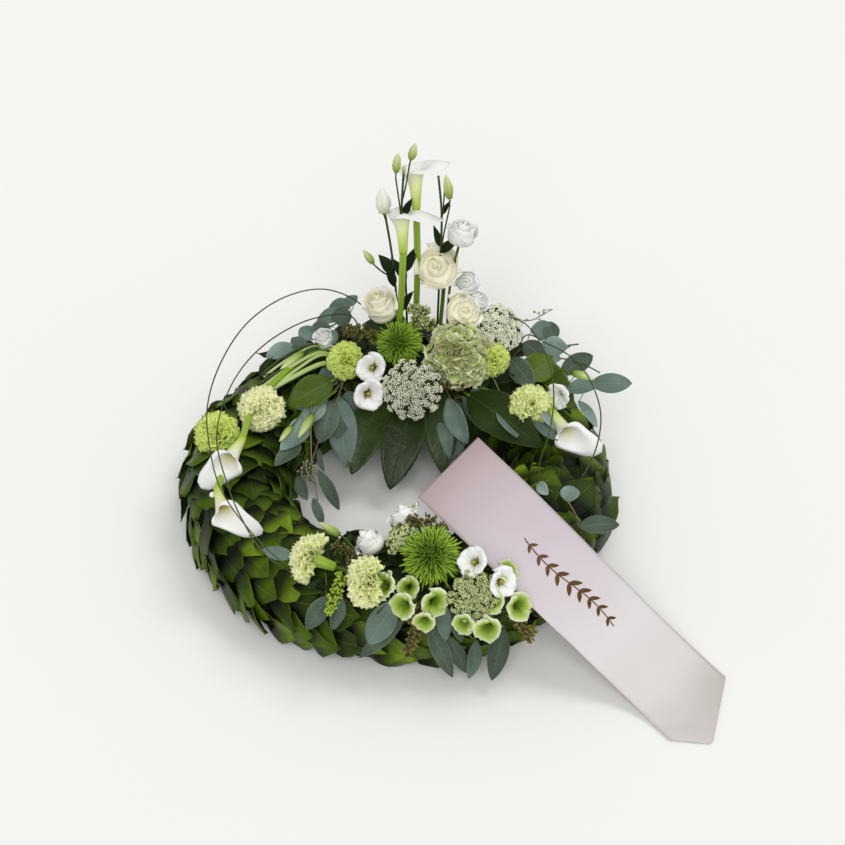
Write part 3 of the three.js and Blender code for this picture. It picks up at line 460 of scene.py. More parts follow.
PETAL_LOOKS = {
    "stem": (["green_stem", "#43590f", "#64841c", "#83a238"], dict(roughness=0.45, streaks=5,
        streak_share=0.3, shade="#344a0e", strength=0.3)),
    "calla_stem": (["calla_stem", "#a2be4c", "#8cb232", "#82a82c"], dict(roughness=0.36, streaks=4,
        streak_share=0.25, shade="#4c741a", strength=0.25)),
    "pale_stem": (["pale_stem", "#a4bc5a", "#b8cb80", "#c8d698"], dict(roughness=0.4, streaks=5,
        streak_share=0.3, shade="#7c9440", strength=0.25)),
    "twig": (["twig", "#5e5a34", "#75734a", "#85845a"], dict(roughness=0.6, streaks=3, streak_share=0.3,
        shade="#3a3820", strength=0.5)),
    "dark_stem": (["dark_stem", "#2a361c", "#3a4a26", "#4b5c30"], dict(roughness=0.5, streaks=3,
        streak_share=0.3, shade="#151d0c", strength=0.3)),
    "grass": (["steel_grass", "#3f4a22", "#46522a", "#4f5c30"], dict(roughness=0.42, streaks=4,
        streak_share=0.3, shade="#2a3218", strength=0.3)),
    "calyx": (["calyx", "#7c9e30", "#93b23c", "#b4cb60"], dict(roughness=0.45, streaks=7,
        streak_share=0.3, shade="#5d7a2a", strength=0.4)),
    "rose": (["rose_petal", "#f0efd0", "#faf6e2", "#fbf9ee"], dict(heart="#faf1c6", heart_share=0.6,
        roughness=0.5, streaks=9, streak_share=0.03, shade="#c9cc96", vary=0.04, Subsurface_Weight=0.1)),
    "lisianthus": (["lisianthus_petal", "#8d8a48", "#eeefea", "#f2f2f2"], dict(roughness=0.5, streaks=8,
        middle_at=0.3, streak_share=0.05, shade="#b9bcae", vary=0.04, Subsurface_Weight=0.1)),
    "lisianthus_double": (["lisianthus_double", "#dfe4c6", "#f1f2ee", "#f6f6f6"], dict(heart="#f0efe0",
        heart_share=0.4, roughness=0.5, streaks=8, streak_share=0.05, shade="#b9bcae", vary=0.04,
        Subsurface_Weight=0.1)),
    "calla": (["calla_spathe", "#9cbc22", "#dde79a", "#f1f1f0"], dict(roughness=0.42, streaks=10,
        middle_at=0.42, streak_share=0.03, shade="#d3d8b8", strength=0.12, vary=0.02, under="#d9d7a2",
        inner="#f1f1ea", Subsurface_Weight=0.1)),
    "spadix": (["spadix", "#d9a72c", "#e6b838", "#efc64a"], dict(roughness=0.7, streaks=6,
        streak_share=0.4, shade="#b98418", strength=0.8)),
    "carnation_lime": (["carnation_lime", "#8aa820", "#c0d648", "#e2ee88"], dict(heart="#a6c636",
        heart_share=0.35, roughness=0.6, streaks=6, streak_share=0.1, shade="#84a030", vary=0.1,
        Subsurface_Weight=0.1)),
    "carnation_pale": (["carnation_pale", "#a4c02c", "#d6e468", "#f2f5b8"], dict(heart="#b4cc3c",
        heart_share=0.7, roughness=0.6, streaks=6, streak_share=0.1, shade="#9cb048", vary=0.08,
        Subsurface_Weight=0.1)),
    "carnation_cream": (["carnation_cream", "#bccd50", "#e9ee9c", "#f7f7c8"], dict(heart="#dbe684",
        heart_share=0.35, roughness=0.6, streaks=6, streak_share=0.1, shade="#a8b664", vary=0.08,
        Subsurface_Weight=0.1)),
    "chrysanthemum": (["chrysanthemum_petal", "#0e2000", "#487406", "#b2d648"], dict(heart="#2c4e04",
        heart_share=0.75, roughness=0.5, streaks=2, streak_share=0.15, shade="#3b5c08", vary=0.2)),
    "hydrangea": (["hydrangea_sepal", "#58701a", "#bfd078", "#f6f9dc"], dict(heart="#93a84c",
        heart_share=0.3, roughness=0.6, streaks=5, streak_share=0.14, shade="#7f9040", blush="#a8876c",
        blush_share=0.5)),
    "umbel_cream": (["umbel_cream", "#b4b796", "#e6e8ce", "#fafae8"], dict(roughness=0.7, streaks=2,
        streak_share=0.03, shade="#a9ad8c", blush="#8b8f66", blush_share=0.2, vary=0.12)),
    "umbel_green": (["umbel_green", "#6a7e26", "#b0be6c", "#e8efbc"], dict(roughness=0.7, streaks=2,
        streak_share=0.1, shade="#4d5a28", blush="#4c5c22", blush_share=0.6)),
    "umbel_stalk": (["umbel_stalk", "#1a220c", "#28330f", "#3d4c1c"], dict(roughness=0.6, streaks=3,
        streak_share=0.2, shade="#10160a")),
    "bells": (["green_bell", "#64821a", "#a0b850", "#f4f6de"], dict(roughness=0.55, streaks=7,
        streak_share=0.12, shade="#74903a", middle_at=0.5, vary=0.1, under="#6f8c22")),
    "bud": (["bud", "#6f8c2e", "#b6c674", "#dfe6b6"], dict(roughness=0.5, streaks=5, streak_share=0.3,
        shade="#84984a")),
    "bud_white": (["bud_white", "#c9d2a0", "#e9ecdb", "#f3f4ee"], dict(roughness=0.5, streaks=5,
        streak_share=0.15, shade="#aeb78e", vary=0.05)),
    "seed": (["seed", "#4c4a22", "#6c6932", "#979052"], dict(roughness=0.6, streaks=4, streak_share=0.3,
        shade="#4a3814", blush="#6e4a26", blush_share=0.5, strength=0.8)),
    "seed_pale": (["seed_pale", "#6b7246", "#9ba27c", "#c9cdb0"], dict(roughness=0.6, streaks=4,
        streak_share=0.3, shade="#4a4c30", blush="#6a5a34", blush_share=0.6, strength=0.6)),
    "solidago": (["solidago", "#6f8a1e", "#9db836", "#c4da5c"], dict(roughness=0.6, streaks=4,
        streak_share=0.2, shade="#5a7218", strength=0.6)),
    "stamen": (["stamen", "#8f8440", "#b39c3c", "#c9a83c"], dict(roughness=0.7, streaks=2,
        streak_share=0.2, shade="#6c602a")),
}
LOOKS = {key: leaf_look(*given, **options) for key, (given, options) in LEAF_LOOKS.items()}
LOOKS.update({key: petal_look(*given, **options) for key, (given, options) in PETAL_LOOKS.items()})


def pearl_look():
    look = Look("pearl", 0.16, Metallic=0.1, Coat_Weight=0.6, Sheen_Weight=0.3)
    haze = look.noise(180, 2)
    colour = look.mix(haze, "#f4f1ea", "#dcd9e0")
    return look.finish(colour, look.noise(900, 1), 0.0002, 0.1)


def steel_look():
    look = Look("pin_steel", 0.3, Metallic=0.9)
    return look.finish(look.mix(look.noise(300), "#8d8f92", "#b4b6b8"), look.noise(1500, 1), 0.0002, 0.2)


def plastic_look():
    look = Look("tray_plastic", 0.5)
    colour = look.mix(look.noise(40, 3), "#111a14", "#1d2a20")
    return look.finish(colour, look.noise(1400, 2), 0.0003, 0.35)


def foam_look():
    look = Look("floral_foam", 0.95)
    grain = look.noise(900, 3)
    colour = look.ramp(grain, (0.3, "#274a33"), (0.5, "#356043"), (0.75, "#477a56"))
    return look.finish(colour, grain, 0.001, 0.8)


LOOKS["pearl"] = pearl_look()
LOOKS["steel"] = steel_look()


# ---- leaves -------------------------------------------------------------------------------
def blade(length, outline, rows=8, columns=6, bend=0.0, curl=0.0, trough=0.0, ripple=0.0,
          waves=2.0, phase=0.0, twist=0.0):
    """A leaf along its own X with +Z up. outline gives its half width at a share of its length,
    bend and curl turn it down (negative) or up in radians, trough lifts its sides."""
    u = np.linspace(0, 1, rows + 1)[:, None]
    v = np.linspace(-1, 1, columns + 1)[None, :]
    half = outline(u)
    pitch = bend * u + curl * u ** 4
    step = length / rows
    centre_x = np.concatenate([[[0]], np.cumsum(np.cos((pitch[1:] + pitch[:-1]) / 2) * step, axis=0)])
    centre_z = np.concatenate([[[0]], np.cumsum(np.sin((pitch[1:] + pitch[:-1]) / 2) * step, axis=0)])
    side = half * v
    lift = trough * half * np.abs(v) ** 1.4
    lift = lift + ripple * np.sin(2 * math.pi * waves * u + phase + np.sign(v) * 1.3) * v ** 2 * np.sqrt(u)
    roll = twist * u
    y = side * np.cos(roll) - lift * np.sin(roll)
    up = side * np.sin(roll) + lift * np.cos(roll)
    return np.stack([centre_x - up * np.sin(pitch) + 0 * v, y + 0 * u, centre_z + up * np.cos(pitch)], -1)


def placed(grid, base, along, face):
    """A blade moved to its base, running along one way with its upper side to the face"""
    along = unit(along)
    z = unit(face - along * (face @ along))
    matrix = np.stack([along, np.cross(z, along), z], axis=-1)
    return grid @ matrix.T + base


def oval(width, fullest=0.45, point=0.7):
    """Half width of an oval leaf. point under 1 makes its end rounder"""
    def outline(u):
        share = np.where(u < fullest, u / fullest, 1 - (u - fullest) / (1 - fullest))
        return np.maximum(width / 2 * np.sin(share * math.pi / 2) ** point, 0.35)
    return outline


def ivy_outline(width, lobes):
    """Half width of an ivy leaf: a broad body, a shoulder on each side and a short point"""
    def outline(u):
        body = np.interp(u, [0, 0.1, 0.3, 0.52, 0.66, 0.8, 0.9, 1.0],
                         [0.30, 0.72, 0.92, 1.0, 0.80 - 0.12 * lobes, 0.52 - 0.08 * lobes, 0.24, 0.02])
        return width / 2 * np.maximum(body, 0.02)
    return outline


# ---- the leaf coat ------------------------------------------------------------------------
SKIRT = 0.22            # share of the section below the shoulder on each side
SHADE_LAYER_SINK = 7       # depth of the near-black sheet of painted shade under the leaves
SHADE_LAYER_ROWS = 26
SHADE_LAYER_COLUMNS = 18
LEAF_SINK = 5.0         # depth at which a leaf is pinned
COURSE_STEP = 6.0       # degrees from one course of leaves to the next
LANES = 8               # leaves in a course


def coat_section(share, sink):
    """Distance out from the middle of the ring's section, height and the way outwards there"""
    wide, high, foot = RING_HALF_WIDTH - sink, RING_HEIGHT - sink, COAT_FOOT_HALF - sink
    if share < SKIRT or share > 1 - SKIRT:
        drop = 1 - share / SKIRT if share < SKIRT else (share - 1 + SKIRT) / SKIRT
        side = -1 if share < SKIRT else 1
        out = foot + (wide - foot) * math.sqrt(max(0.0, 1 - drop * drop))
        height = SHOULDER + (COAT_FOOT - SHOULDER) * drop
        normal = (side, -0.35 * drop)
        return side * out, height, normal
    turn = math.pi * (1 - (share - SKIRT) / (1 - 2 * SKIRT))
    out, height = wide * math.cos(turn), SHOULDER + (high - SHOULDER) * math.sin(turn)
    normal = (math.cos(turn) / wide, math.sin(turn) / (high - SHOULDER))
    return out, height, normal


def coat_frame(angle, share, sink):
    """Place on the coat, the way outwards and the way along the ring"""
    out, height, (n_out, n_up) = coat_section(share, sink)
    radial = level(angle)
    spot = radial * (RING_RADIUS + out) + UP * height
    normal = unit(radial * n_out + UP * n_up)
    along = np.array([-math.sin(angle), math.cos(angle), 0.0])
    return spot, normal, along


def leaf_coat(name, start, sweep, seed):
    """One stretch of the coat: courses of overlapping leaves over a near-black sheet that paints the shade in
    the gaps between them
    """
    rng = np.random.default_rng(seed)
    piece = Piece()
    grid = np.empty((SHADE_LAYER_ROWS + 1, SHADE_LAYER_COLUMNS + 1, 3))
    for i in range(SHADE_LAYER_ROWS + 1):
        for j in range(SHADE_LAYER_COLUMNS + 1):
            angle = math.radians(start + sweep * i / SHADE_LAYER_ROWS)
            grid[i, j] = coat_frame(angle, 0.01 + 0.98 * j / SHADE_LAYER_COLUMNS, SHADE_LAYER_SINK)[0]
    # painted shade: a near-black sheet under the leaves, so that the gaps between them look dark
    piece.shell(grid[:, ::-1], 2.0, look=1)
    for course in range(round(sweep / COURSE_STEP)):
        for lane in range(LANES):
            share = 0.075 + 0.85 * (lane + 0.5 * (course % 2)) / 7.5 + rng.uniform(-0.012, 0.012)
            angle = math.radians(start + COURSE_STEP * (course + rng.uniform(-0.22, 0.22)))
            width, length = rng.uniform(36, 47), rng.uniform(47, 56)
            outer = smooth(np.array(share), 0.66, 0.9)
            spot, normal, along = coat_frame(angle, share, LEAF_SINK)
            across = np.cross(normal, along)
            swing = rng.normal(0, 0.16)
            way = along * math.cos(swing) + across * math.sin(swing)
            rise = rng.uniform(0.16, 0.44) + 0.12 * outer
            grid = blade(
                length, ivy_outline(width, rng.uniform(0.2, 1)), rows=8, columns=8,
                bend=-rng.uniform(0.25, 0.7), curl=rng.uniform(-0.5, 0.2),
                trough=rng.uniform(-0.42, 0.10) + 0.3 * outer * rng.uniform(-1, 1.4),
                ripple=rng.uniform(1.0, 3.2), waves=rng.uniform(0.8, 1.8), phase=rng.uniform(0, 6.3),
                twist=rng.normal(0, 0.12),
            )
            way = way * math.cos(rise) + normal * math.sin(rise)
            grid = placed(grid, spot - way * 6, way, normal)
            grid[..., 2] = np.maximum(grid[..., 2], 1.0)
            piece.shell(grid, 0.7, rng.uniform(0, 1), share, 0)
    return piece.make(name, [LOOKS["ivy"], LOOKS["underlay"]], name)


# ---- flower heads: each stands on its own Z with its base at the origin ---------------------
def rose_head(radius, height, rng, count=10, ruffle=0.03, lip=0.16, shut=1.0):
    """Petals wrapped around each other: the inner ones close over the heart, the outer ones
    stop lower and roll back at the rim"""
    piece = Piece()
    rows, columns = 12, 12
    u = np.linspace(0, 1, rows + 1)[:, None]
    v = np.linspace(-1, 1, columns + 1)[None, :]
    for k in range(count):
        t = k / (count - 1)
        turn = GOLDEN * k + rng.uniform(-0.25, 0.25)
        reach = radius * (0.17 + 0.75 * t ** 0.85)
        close = math.radians(152 - 62 * t ** 0.8 * shut)
        polar = math.radians(12) + (close - math.radians(12)) * u * (1 - 0.10 * np.abs(v) ** 3 * u)
        edge = smooth(u, 0.78, 1.0)
        wave = ruffle * radius * np.sin(2.5 * math.pi * v + rng.uniform(0, 6.3)) * edge
        out = reach * np.sin(polar) + radius * lip * t ** 1.3 * edge ** 1.4 * (0.6 + 0.5 * v ** 2) + wave
        top = height * (0.98 - 0.3 * t ** 1.3) * rng.uniform(0.97, 1.03)
        rise = top * (1 - np.cos(polar)) / (1 - math.cos(close))
        rise = rise - radius * 0.14 * t * edge ** 2 * (0.4 + v ** 2) - 0.5 * wave
        spread = (1.9 - 0.85 * t ** 0.6) * (0.5 + 0.5 * np.sin(np.clip(u * 1.3, 0, 1) * math.pi / 2))
        angle = turn + v * spread
        out = out * (1 + 0.05 * v)
        grid = np.stack([out * np.cos(angle), out * np.sin(angle), rise + 0 * v], -1)
        piece.shell(grid[:, ::-1], 0.6, rng.uniform(0, 1), t, 0)
    heart = [(0.3 * radius, 0.04 * height), (0.78 * radius, 0.2 * height), (0.82 * radius, 0.36 * height),
             (0.66 * radius, 0.54 * height), (0.4 * radius, 0.7 * height), (0.02 * radius, 0.84 * height)]
    piece.lathe(heart, 24)
    calyx_leaves(piece, 5, 0.5 * radius, 0.4 * radius, 0, rng)
    return piece


def double_head(radius, height, rng):
    """A double lisianthus: a fuller, wavier and more open rose"""
    return rose_head(radius, height, rng, count=9, ruffle=0.06, lip=0.22, shut=0.6)


def calyx_leaves(piece, count, length, width, start, rng, lift=0.9, look=1, reach=2.0):
    """Small green leaves around the foot of a head"""
    for k in range(count):
        turn = 2 * math.pi * k / count + 0.3
        out = level(turn)
        grid = blade(length, oval(width, 0.3, 0.9), 5, 4, bend=rng.uniform(0.1, 0.6), trough=0.2)
        way = out * math.cos(lift) + UP * math.sin(lift)
        base = out * reach + UP * start
        piece.shell(placed(grid, base, way, UP * math.cos(lift) - out * math.sin(lift)), 0.5, 0.5, 1, look)


CARNATION_PETALS = 96
CHRYSANTHEMUM_PETALS = 430


def carnation_head(radius, height, rng, calyx=None, cap=1.22):
    """Crumpled petals with a notched edge, packed in a dome over a long calyx"""
    piece = Piece()
    calyx = calyx or min(0.4 * height, 18)
    dome = height - calyx
    columns = 11
    for k in range(CARNATION_PETALS):
        t = (k + 0.5) / CARNATION_PETALS
        polar = math.acos(1 - cap * t)
        turn = GOLDEN * k + rng.uniform(-0.2, 0.2)
        way = np.array([math.sin(polar) * math.cos(turn), math.sin(polar) * math.sin(turn), math.cos(polar)])
        reach = math.hypot(radius * math.sin(polar), dome * 0.98 * math.cos(polar)) * rng.uniform(0.86, 1.05)
        width = radius * rng.uniform(0.55, 0.8)
        u = np.linspace(0.35, 1, 6)[:, None]
        v = np.linspace(-1, 1, columns)[None, :]
        notch = 1 + 0.06 * np.where(np.arange(columns) % 2, 1, -1)[None, :] * (u > 0.9)
        along = reach * u * notch * (1 - 0.12 * v ** 2)
        across = width / 2 * v * (0.35 + 0.65 * u)
        waves, phase = rng.uniform(1.4, 2.6), rng.uniform(0, 6.3)
        fold = radius * 0.17 * smooth(u, 0.45, 1) * np.sin(math.pi * waves * v + phase)
        fold = fold + radius * 0.14 * rng.uniform(-1, 1) * smooth(u, 0.6, 1)
        side = unit(any_side(way))
        side = rotated(side, way, rng.uniform(0, math.pi))
        other = np.cross(way, side)
        grid = along[..., None] * way + across[..., None] * side + fold[..., None] * other
        grid = grid + UP * calyx
        piece.shell(grid, 0.45, rng.uniform(0, 1), 1 - t, 0)
    piece.lathe([(2.5, 0), (5.0, 2), (6.2, calyx * 0.5), (7.4, calyx * 0.85), (11.5, calyx + 5)], 15, look=1,
                swell=lambda a, z: 1 + 0.04 * np.cos(5 * a))
    calyx_leaves(piece, 5, 9, 5, calyx - 3, rng, 1.2, 1, 6.5)
    return piece


def chrysanthemum_head(radius, height, rng):
    """A globe of narrow hooked petals"""
    piece = Piece()
    heart = np.array([0.0, 0.0, 0.36 * height])
    flat = (height - heart[2]) / radius
    for k in range(CHRYSANTHEMUM_PETALS):
        t = (k + 0.5) / CHRYSANTHEMUM_PETALS
        polar = 0.06 + 1.72 * t ** 0.75 + rng.uniform(-0.09, 0.09)
        turn = GOLDEN * k + rng.uniform(-0.15, 0.15)
        out = level(turn)
        length = radius * (0.62 + 0.42 * t ** 0.8) * rng.uniform(0.80, 1.10)
        s = np.linspace(0.18, 1, 6)[:, None]
        bow = 0.16 * np.sin(math.pi * s)
        lean = polar * (0.65 + 0.42 * s)
        hook = rng.uniform(0.02, 0.22) * smooth(s, 0.7, 1.0)
        reach = length * s * np.sin(lean) - length * hook * 0.6
        rise = length * s * np.cos(lean) * flat + length * (bow * 0.35 + hook * 0.7)
        swirl = np.cross(UP, out) * length * rng.uniform(-0.10, 0.10) * s ** 2
        path = heart + out * reach + UP * rise + swirl
        thick = np.array([0.6, 0.85, 0.95, 1.05, 1.0, 0.5]) * radius / 31
        piece.tube(path, thick, 4, rng.uniform(0, 1), t, 0)
    piece.lathe([(3, 0), (0.4 * radius, 2), (0.62 * radius, 0.16 * height), (0.3 * radius, 0.4 * height)],
                12, look=1)
    return piece


def bead_template(rings, sides, stretch=1.0):
    """A small ball or oval around the origin"""
    piece = Piece()
    polar = np.linspace(0, math.pi, rings + 2)[1:-1]
    profile = [(math.sin(a), -math.cos(a) * stretch) for a in polar]
    profile = [(0.02, -stretch)] + profile + [(0.02, stretch)]
    piece.lathe(profile, sides)
    return piece


def umbel_head(radius, height, rng, groups, each, size, gap, sides):
    """Many tiny buds in groups over a dome, on forked stalks"""
    piece = Piece()
    spots, ways = [], []
    crown = np.array([0.0, 0.0, 0.1 * height])
    body = [(0.1 * radius, 0.2 * height), (0.6 * radius, 0.4 * height), (0.84 * radius, 0.56 * height),
            (0.62 * radius, 0.76 * height), (0.3 * radius, 0.86 * height), (0.05 * radius, 0.88 * height)]
    piece.lathe(body, 18, look=1)
    for g in range(groups):
        t = (g + 0.5) / groups
        reach = radius * 0.93 * math.sqrt(t)
        turn = GOLDEN * g + rng.uniform(-0.15, 0.15)
        out = level(turn)
        tilt = 1.15 * (reach / radius) ** 1.4
        normal = out * math.sin(tilt) + UP * math.cos(tilt)
        centre = out * reach + UP * height * (0.97 - 0.38 * (reach / radius) ** 2.4)
        centre = centre + normal * rng.uniform(-2.5, 0.5)
        stalk = [crown, crown * 0.5 + centre * 0.5 + UP * 2, centre - normal * 2.5]
        piece.tube(curve(stalk, 4), 0.7, 3, look=1)
        matrix = basis(normal, any_side(normal))
        for n in range(each):
            ring = radius * gap * math.sqrt((n + 0.4) / each)
            a = GOLDEN * n + g
            bulge = radius * 0.05 * (1 - (n / each) ** 1.2)
            local = np.array([ring * math.cos(a), ring * math.sin(a), bulge + rng.uniform(-0.8, 0.8)])
            spots.append(centre + matrix @ local)
            ways.append(unit(normal + matrix @ np.array([local[0], local[1], 0]) / (radius * 0.22)
                             + rng.normal(0, 0.25, 3)))
    scale = size * rng.uniform(0.75, 1.15, len(spots))
    piece.scatter(bead_template(2, sides), spots, ways, scale, rng)
    return piece


def sepal_grid(length, width, cup, wave, phase):
    return blade(length, oval(width, 0.55, 0.6), 4, 4, bend=cup, trough=0.22, ripple=wave, phase=phase)


def hydrangea_head(radius, height, rng, count):
    """A dome of florets, each with four broad sepals"""
    piece = Piece()
    for k in range(count):
        t = (k + 0.5) / count
        reach = radius * 0.96 * math.sqrt(t)
        turn = GOLDEN * k + rng.uniform(-0.2, 0.2)
        out = level(turn)
        tilt = 1.2 * (reach / radius) ** 1.3
        normal = unit(out * math.sin(tilt) + UP * math.cos(tilt) + rng.normal(0, 0.42, 3))
        centre = out * reach * 0.94 + UP * height * (0.93 - 0.42 * (reach / radius) ** 2.2)
        centre = centre + normal * rng.uniform(-6, 2)
        piece.tube(curve([UP * 0.2 * height, (centre + UP * 0.3 * height) / 2, centre], 4), 0.8, 3, look=1)
        start, chance = rng.uniform(0, 6.3), rng.uniform(0, 1)
        for n in range(4):
            a = start + n * math.pi / 2 + rng.uniform(-0.12, 0.12)
            frame_of = basis(normal, any_side(normal))
            way = frame_of @ np.array([math.cos(a), math.sin(a), 0.15])
            length = rng.uniform(10.5, 14.5) * radius / 36
            grid = sepal_grid(length, length * 1.15, rng.uniform(0.3, 1.25), 0.9, rng.uniform(0, 6))
            piece.shell(placed(grid, centre, way, normal), 0.35, chance, t, 0)
    return piece


def lisianthus_head(radius, height, rng, petals=7, open_up=1.0, stamens=True):
    """An open cup of broad petals around stamens"""
    piece = Piece()
    u = np.linspace(0, 1, 9)[:, None]
    v = np.linspace(-1, 1, 9)[None, :]
    for k in range(petals):
        inner = k % 2
        turn = 2 * math.pi * k / petals + rng.uniform(-0.12, 0.12)
        full = radius * (0.98 if not inner else 0.90) * rng.uniform(0.95, 1.04)
        flare = 0.20 + 0.8 * smooth(u, 0.15, 1.0) ** (1.25 / open_up)
        out = full * flare * (1 - 0.10 * v ** 2 * u)
        drop = 0.20 * height * v ** 2 * u ** 2 + 0.10 * height * smooth(u, 0.75, 1.0) * open_up
        rise = height * (np.sin(np.clip(u, 0, 1) * math.pi / 2) ** 0.9) * (0.96 if inner else 1.0) - drop
        wave = radius * 0.13 * np.sin(2.4 * math.pi * v + rng.uniform(0, 6.3)) * smooth(u, 0.55, 1.0)
        width = (0.42 + 0.34 * smooth(u, 0.1, 0.8)) * 1.25
        angle = turn + v * width
        out = out + 0.05 * radius * v * (0.4 + u) - (0.05 * radius if inner else 0)
        grid = np.stack([out * np.cos(angle), out * np.sin(angle), rise + wave], -1)
        piece.shell(grid[:, ::-1], 0.45, rng.uniform(0, 1), 0.5 * inner)
    if stamens:
        for k in range(6):
            turn = GOLDEN * k
            out = level(turn)
            path = curve([UP * 0.2 * height, out * 0.12 * radius + UP * 0.45 * height,
                          out * 0.22 * radius + UP * 0.62 * height], 4)
            piece.tube(path, [0.4, 0.4, 0.9, 0.7], 4, 0.5, 0.2, 2)
        pistil = curve([UP * 0.2 * height, UP * 0.5 * height, UP * 0.7 * height], 4)
        piece.tube(pistil, [1.2, 1.1, 1.2, 1.8], 6, 0.5, 0.5, 1)
    calyx_leaves(piece, 5, 0.75 * radius, 3.2, 0, rng, 0.95, 1, 1.8)
    return piece


def bud_head(radius, height, rng, look=0):
    """A closed bud with a slight swirl, in its calyx"""
    piece = Piece()
    share = np.linspace(0, 1, 10)
    outline = [0.35, 0.7, 1, 0.92, 0.55, 0.2, 0.05]
    reach = radius * np.interp(share, [0, 0.08, 0.3, 0.55, 0.8, 0.95, 1], outline)
    profile = list(zip(reach, share * height))
    piece.lathe(profile, 15, swell=lambda a, z: 1 + 0.07 * np.cos(5 * a + 6.0 * z / height), look=look,
                chance=rng.uniform(0, 1))
    calyx_leaves(piece, 5, 0.62 * height, 0.9 * radius, 0, rng, 1.42, 1, 0.62 * radius)
    return piece


# ---- placing heads, stems and sprays --------------------------------------------------------
def root_below(spot):
    """Where a stem from above this spot ends in the foam"""
    angle = math.atan2(spot[1], spot[0])
    return np.array([RING_RADIUS * math.cos(angle), RING_RADIUS * math.sin(angle), STEM_DEPTH])


def head_frame(at, height, lean, toward):
    """Matrix, base and axis of a head from its middle, its lean and the compass angle it faces"""
    axis = leaning(lean, toward)
    side = leaning(lean + 90, toward)
    matrix = np.stack([side, np.cross(axis, side), axis], axis=-1)
    return matrix, np.array(at, float) - axis * height / 2, axis


def flower(name, head, looks, slot, at, radius, height, lean, toward, thick=2.6, root=None, seed=1,
           **options):
    """One head and its stem, which bends down from it into the foam"""
    rng = np.random.default_rng(seed)
    piece = Piece()
    matrix, base, axis = head_frame(at, height, lean, toward)
    piece.stamp(head(radius, height, rng, **options), matrix[None], base[None])
    foot = np.array(root, float) if root else root_below(at)
    reach = np.linalg.norm(base - foot)
    path = curve([base + 2 * axis, base - 0.3 * reach * axis, foot], 10)
    piece.tube(path, thick, 7, look=len(looks))
    materials = [LOOKS[n] for n in looks] + [LOOKS["stem"]]
    return piece.make(name, materials, name)


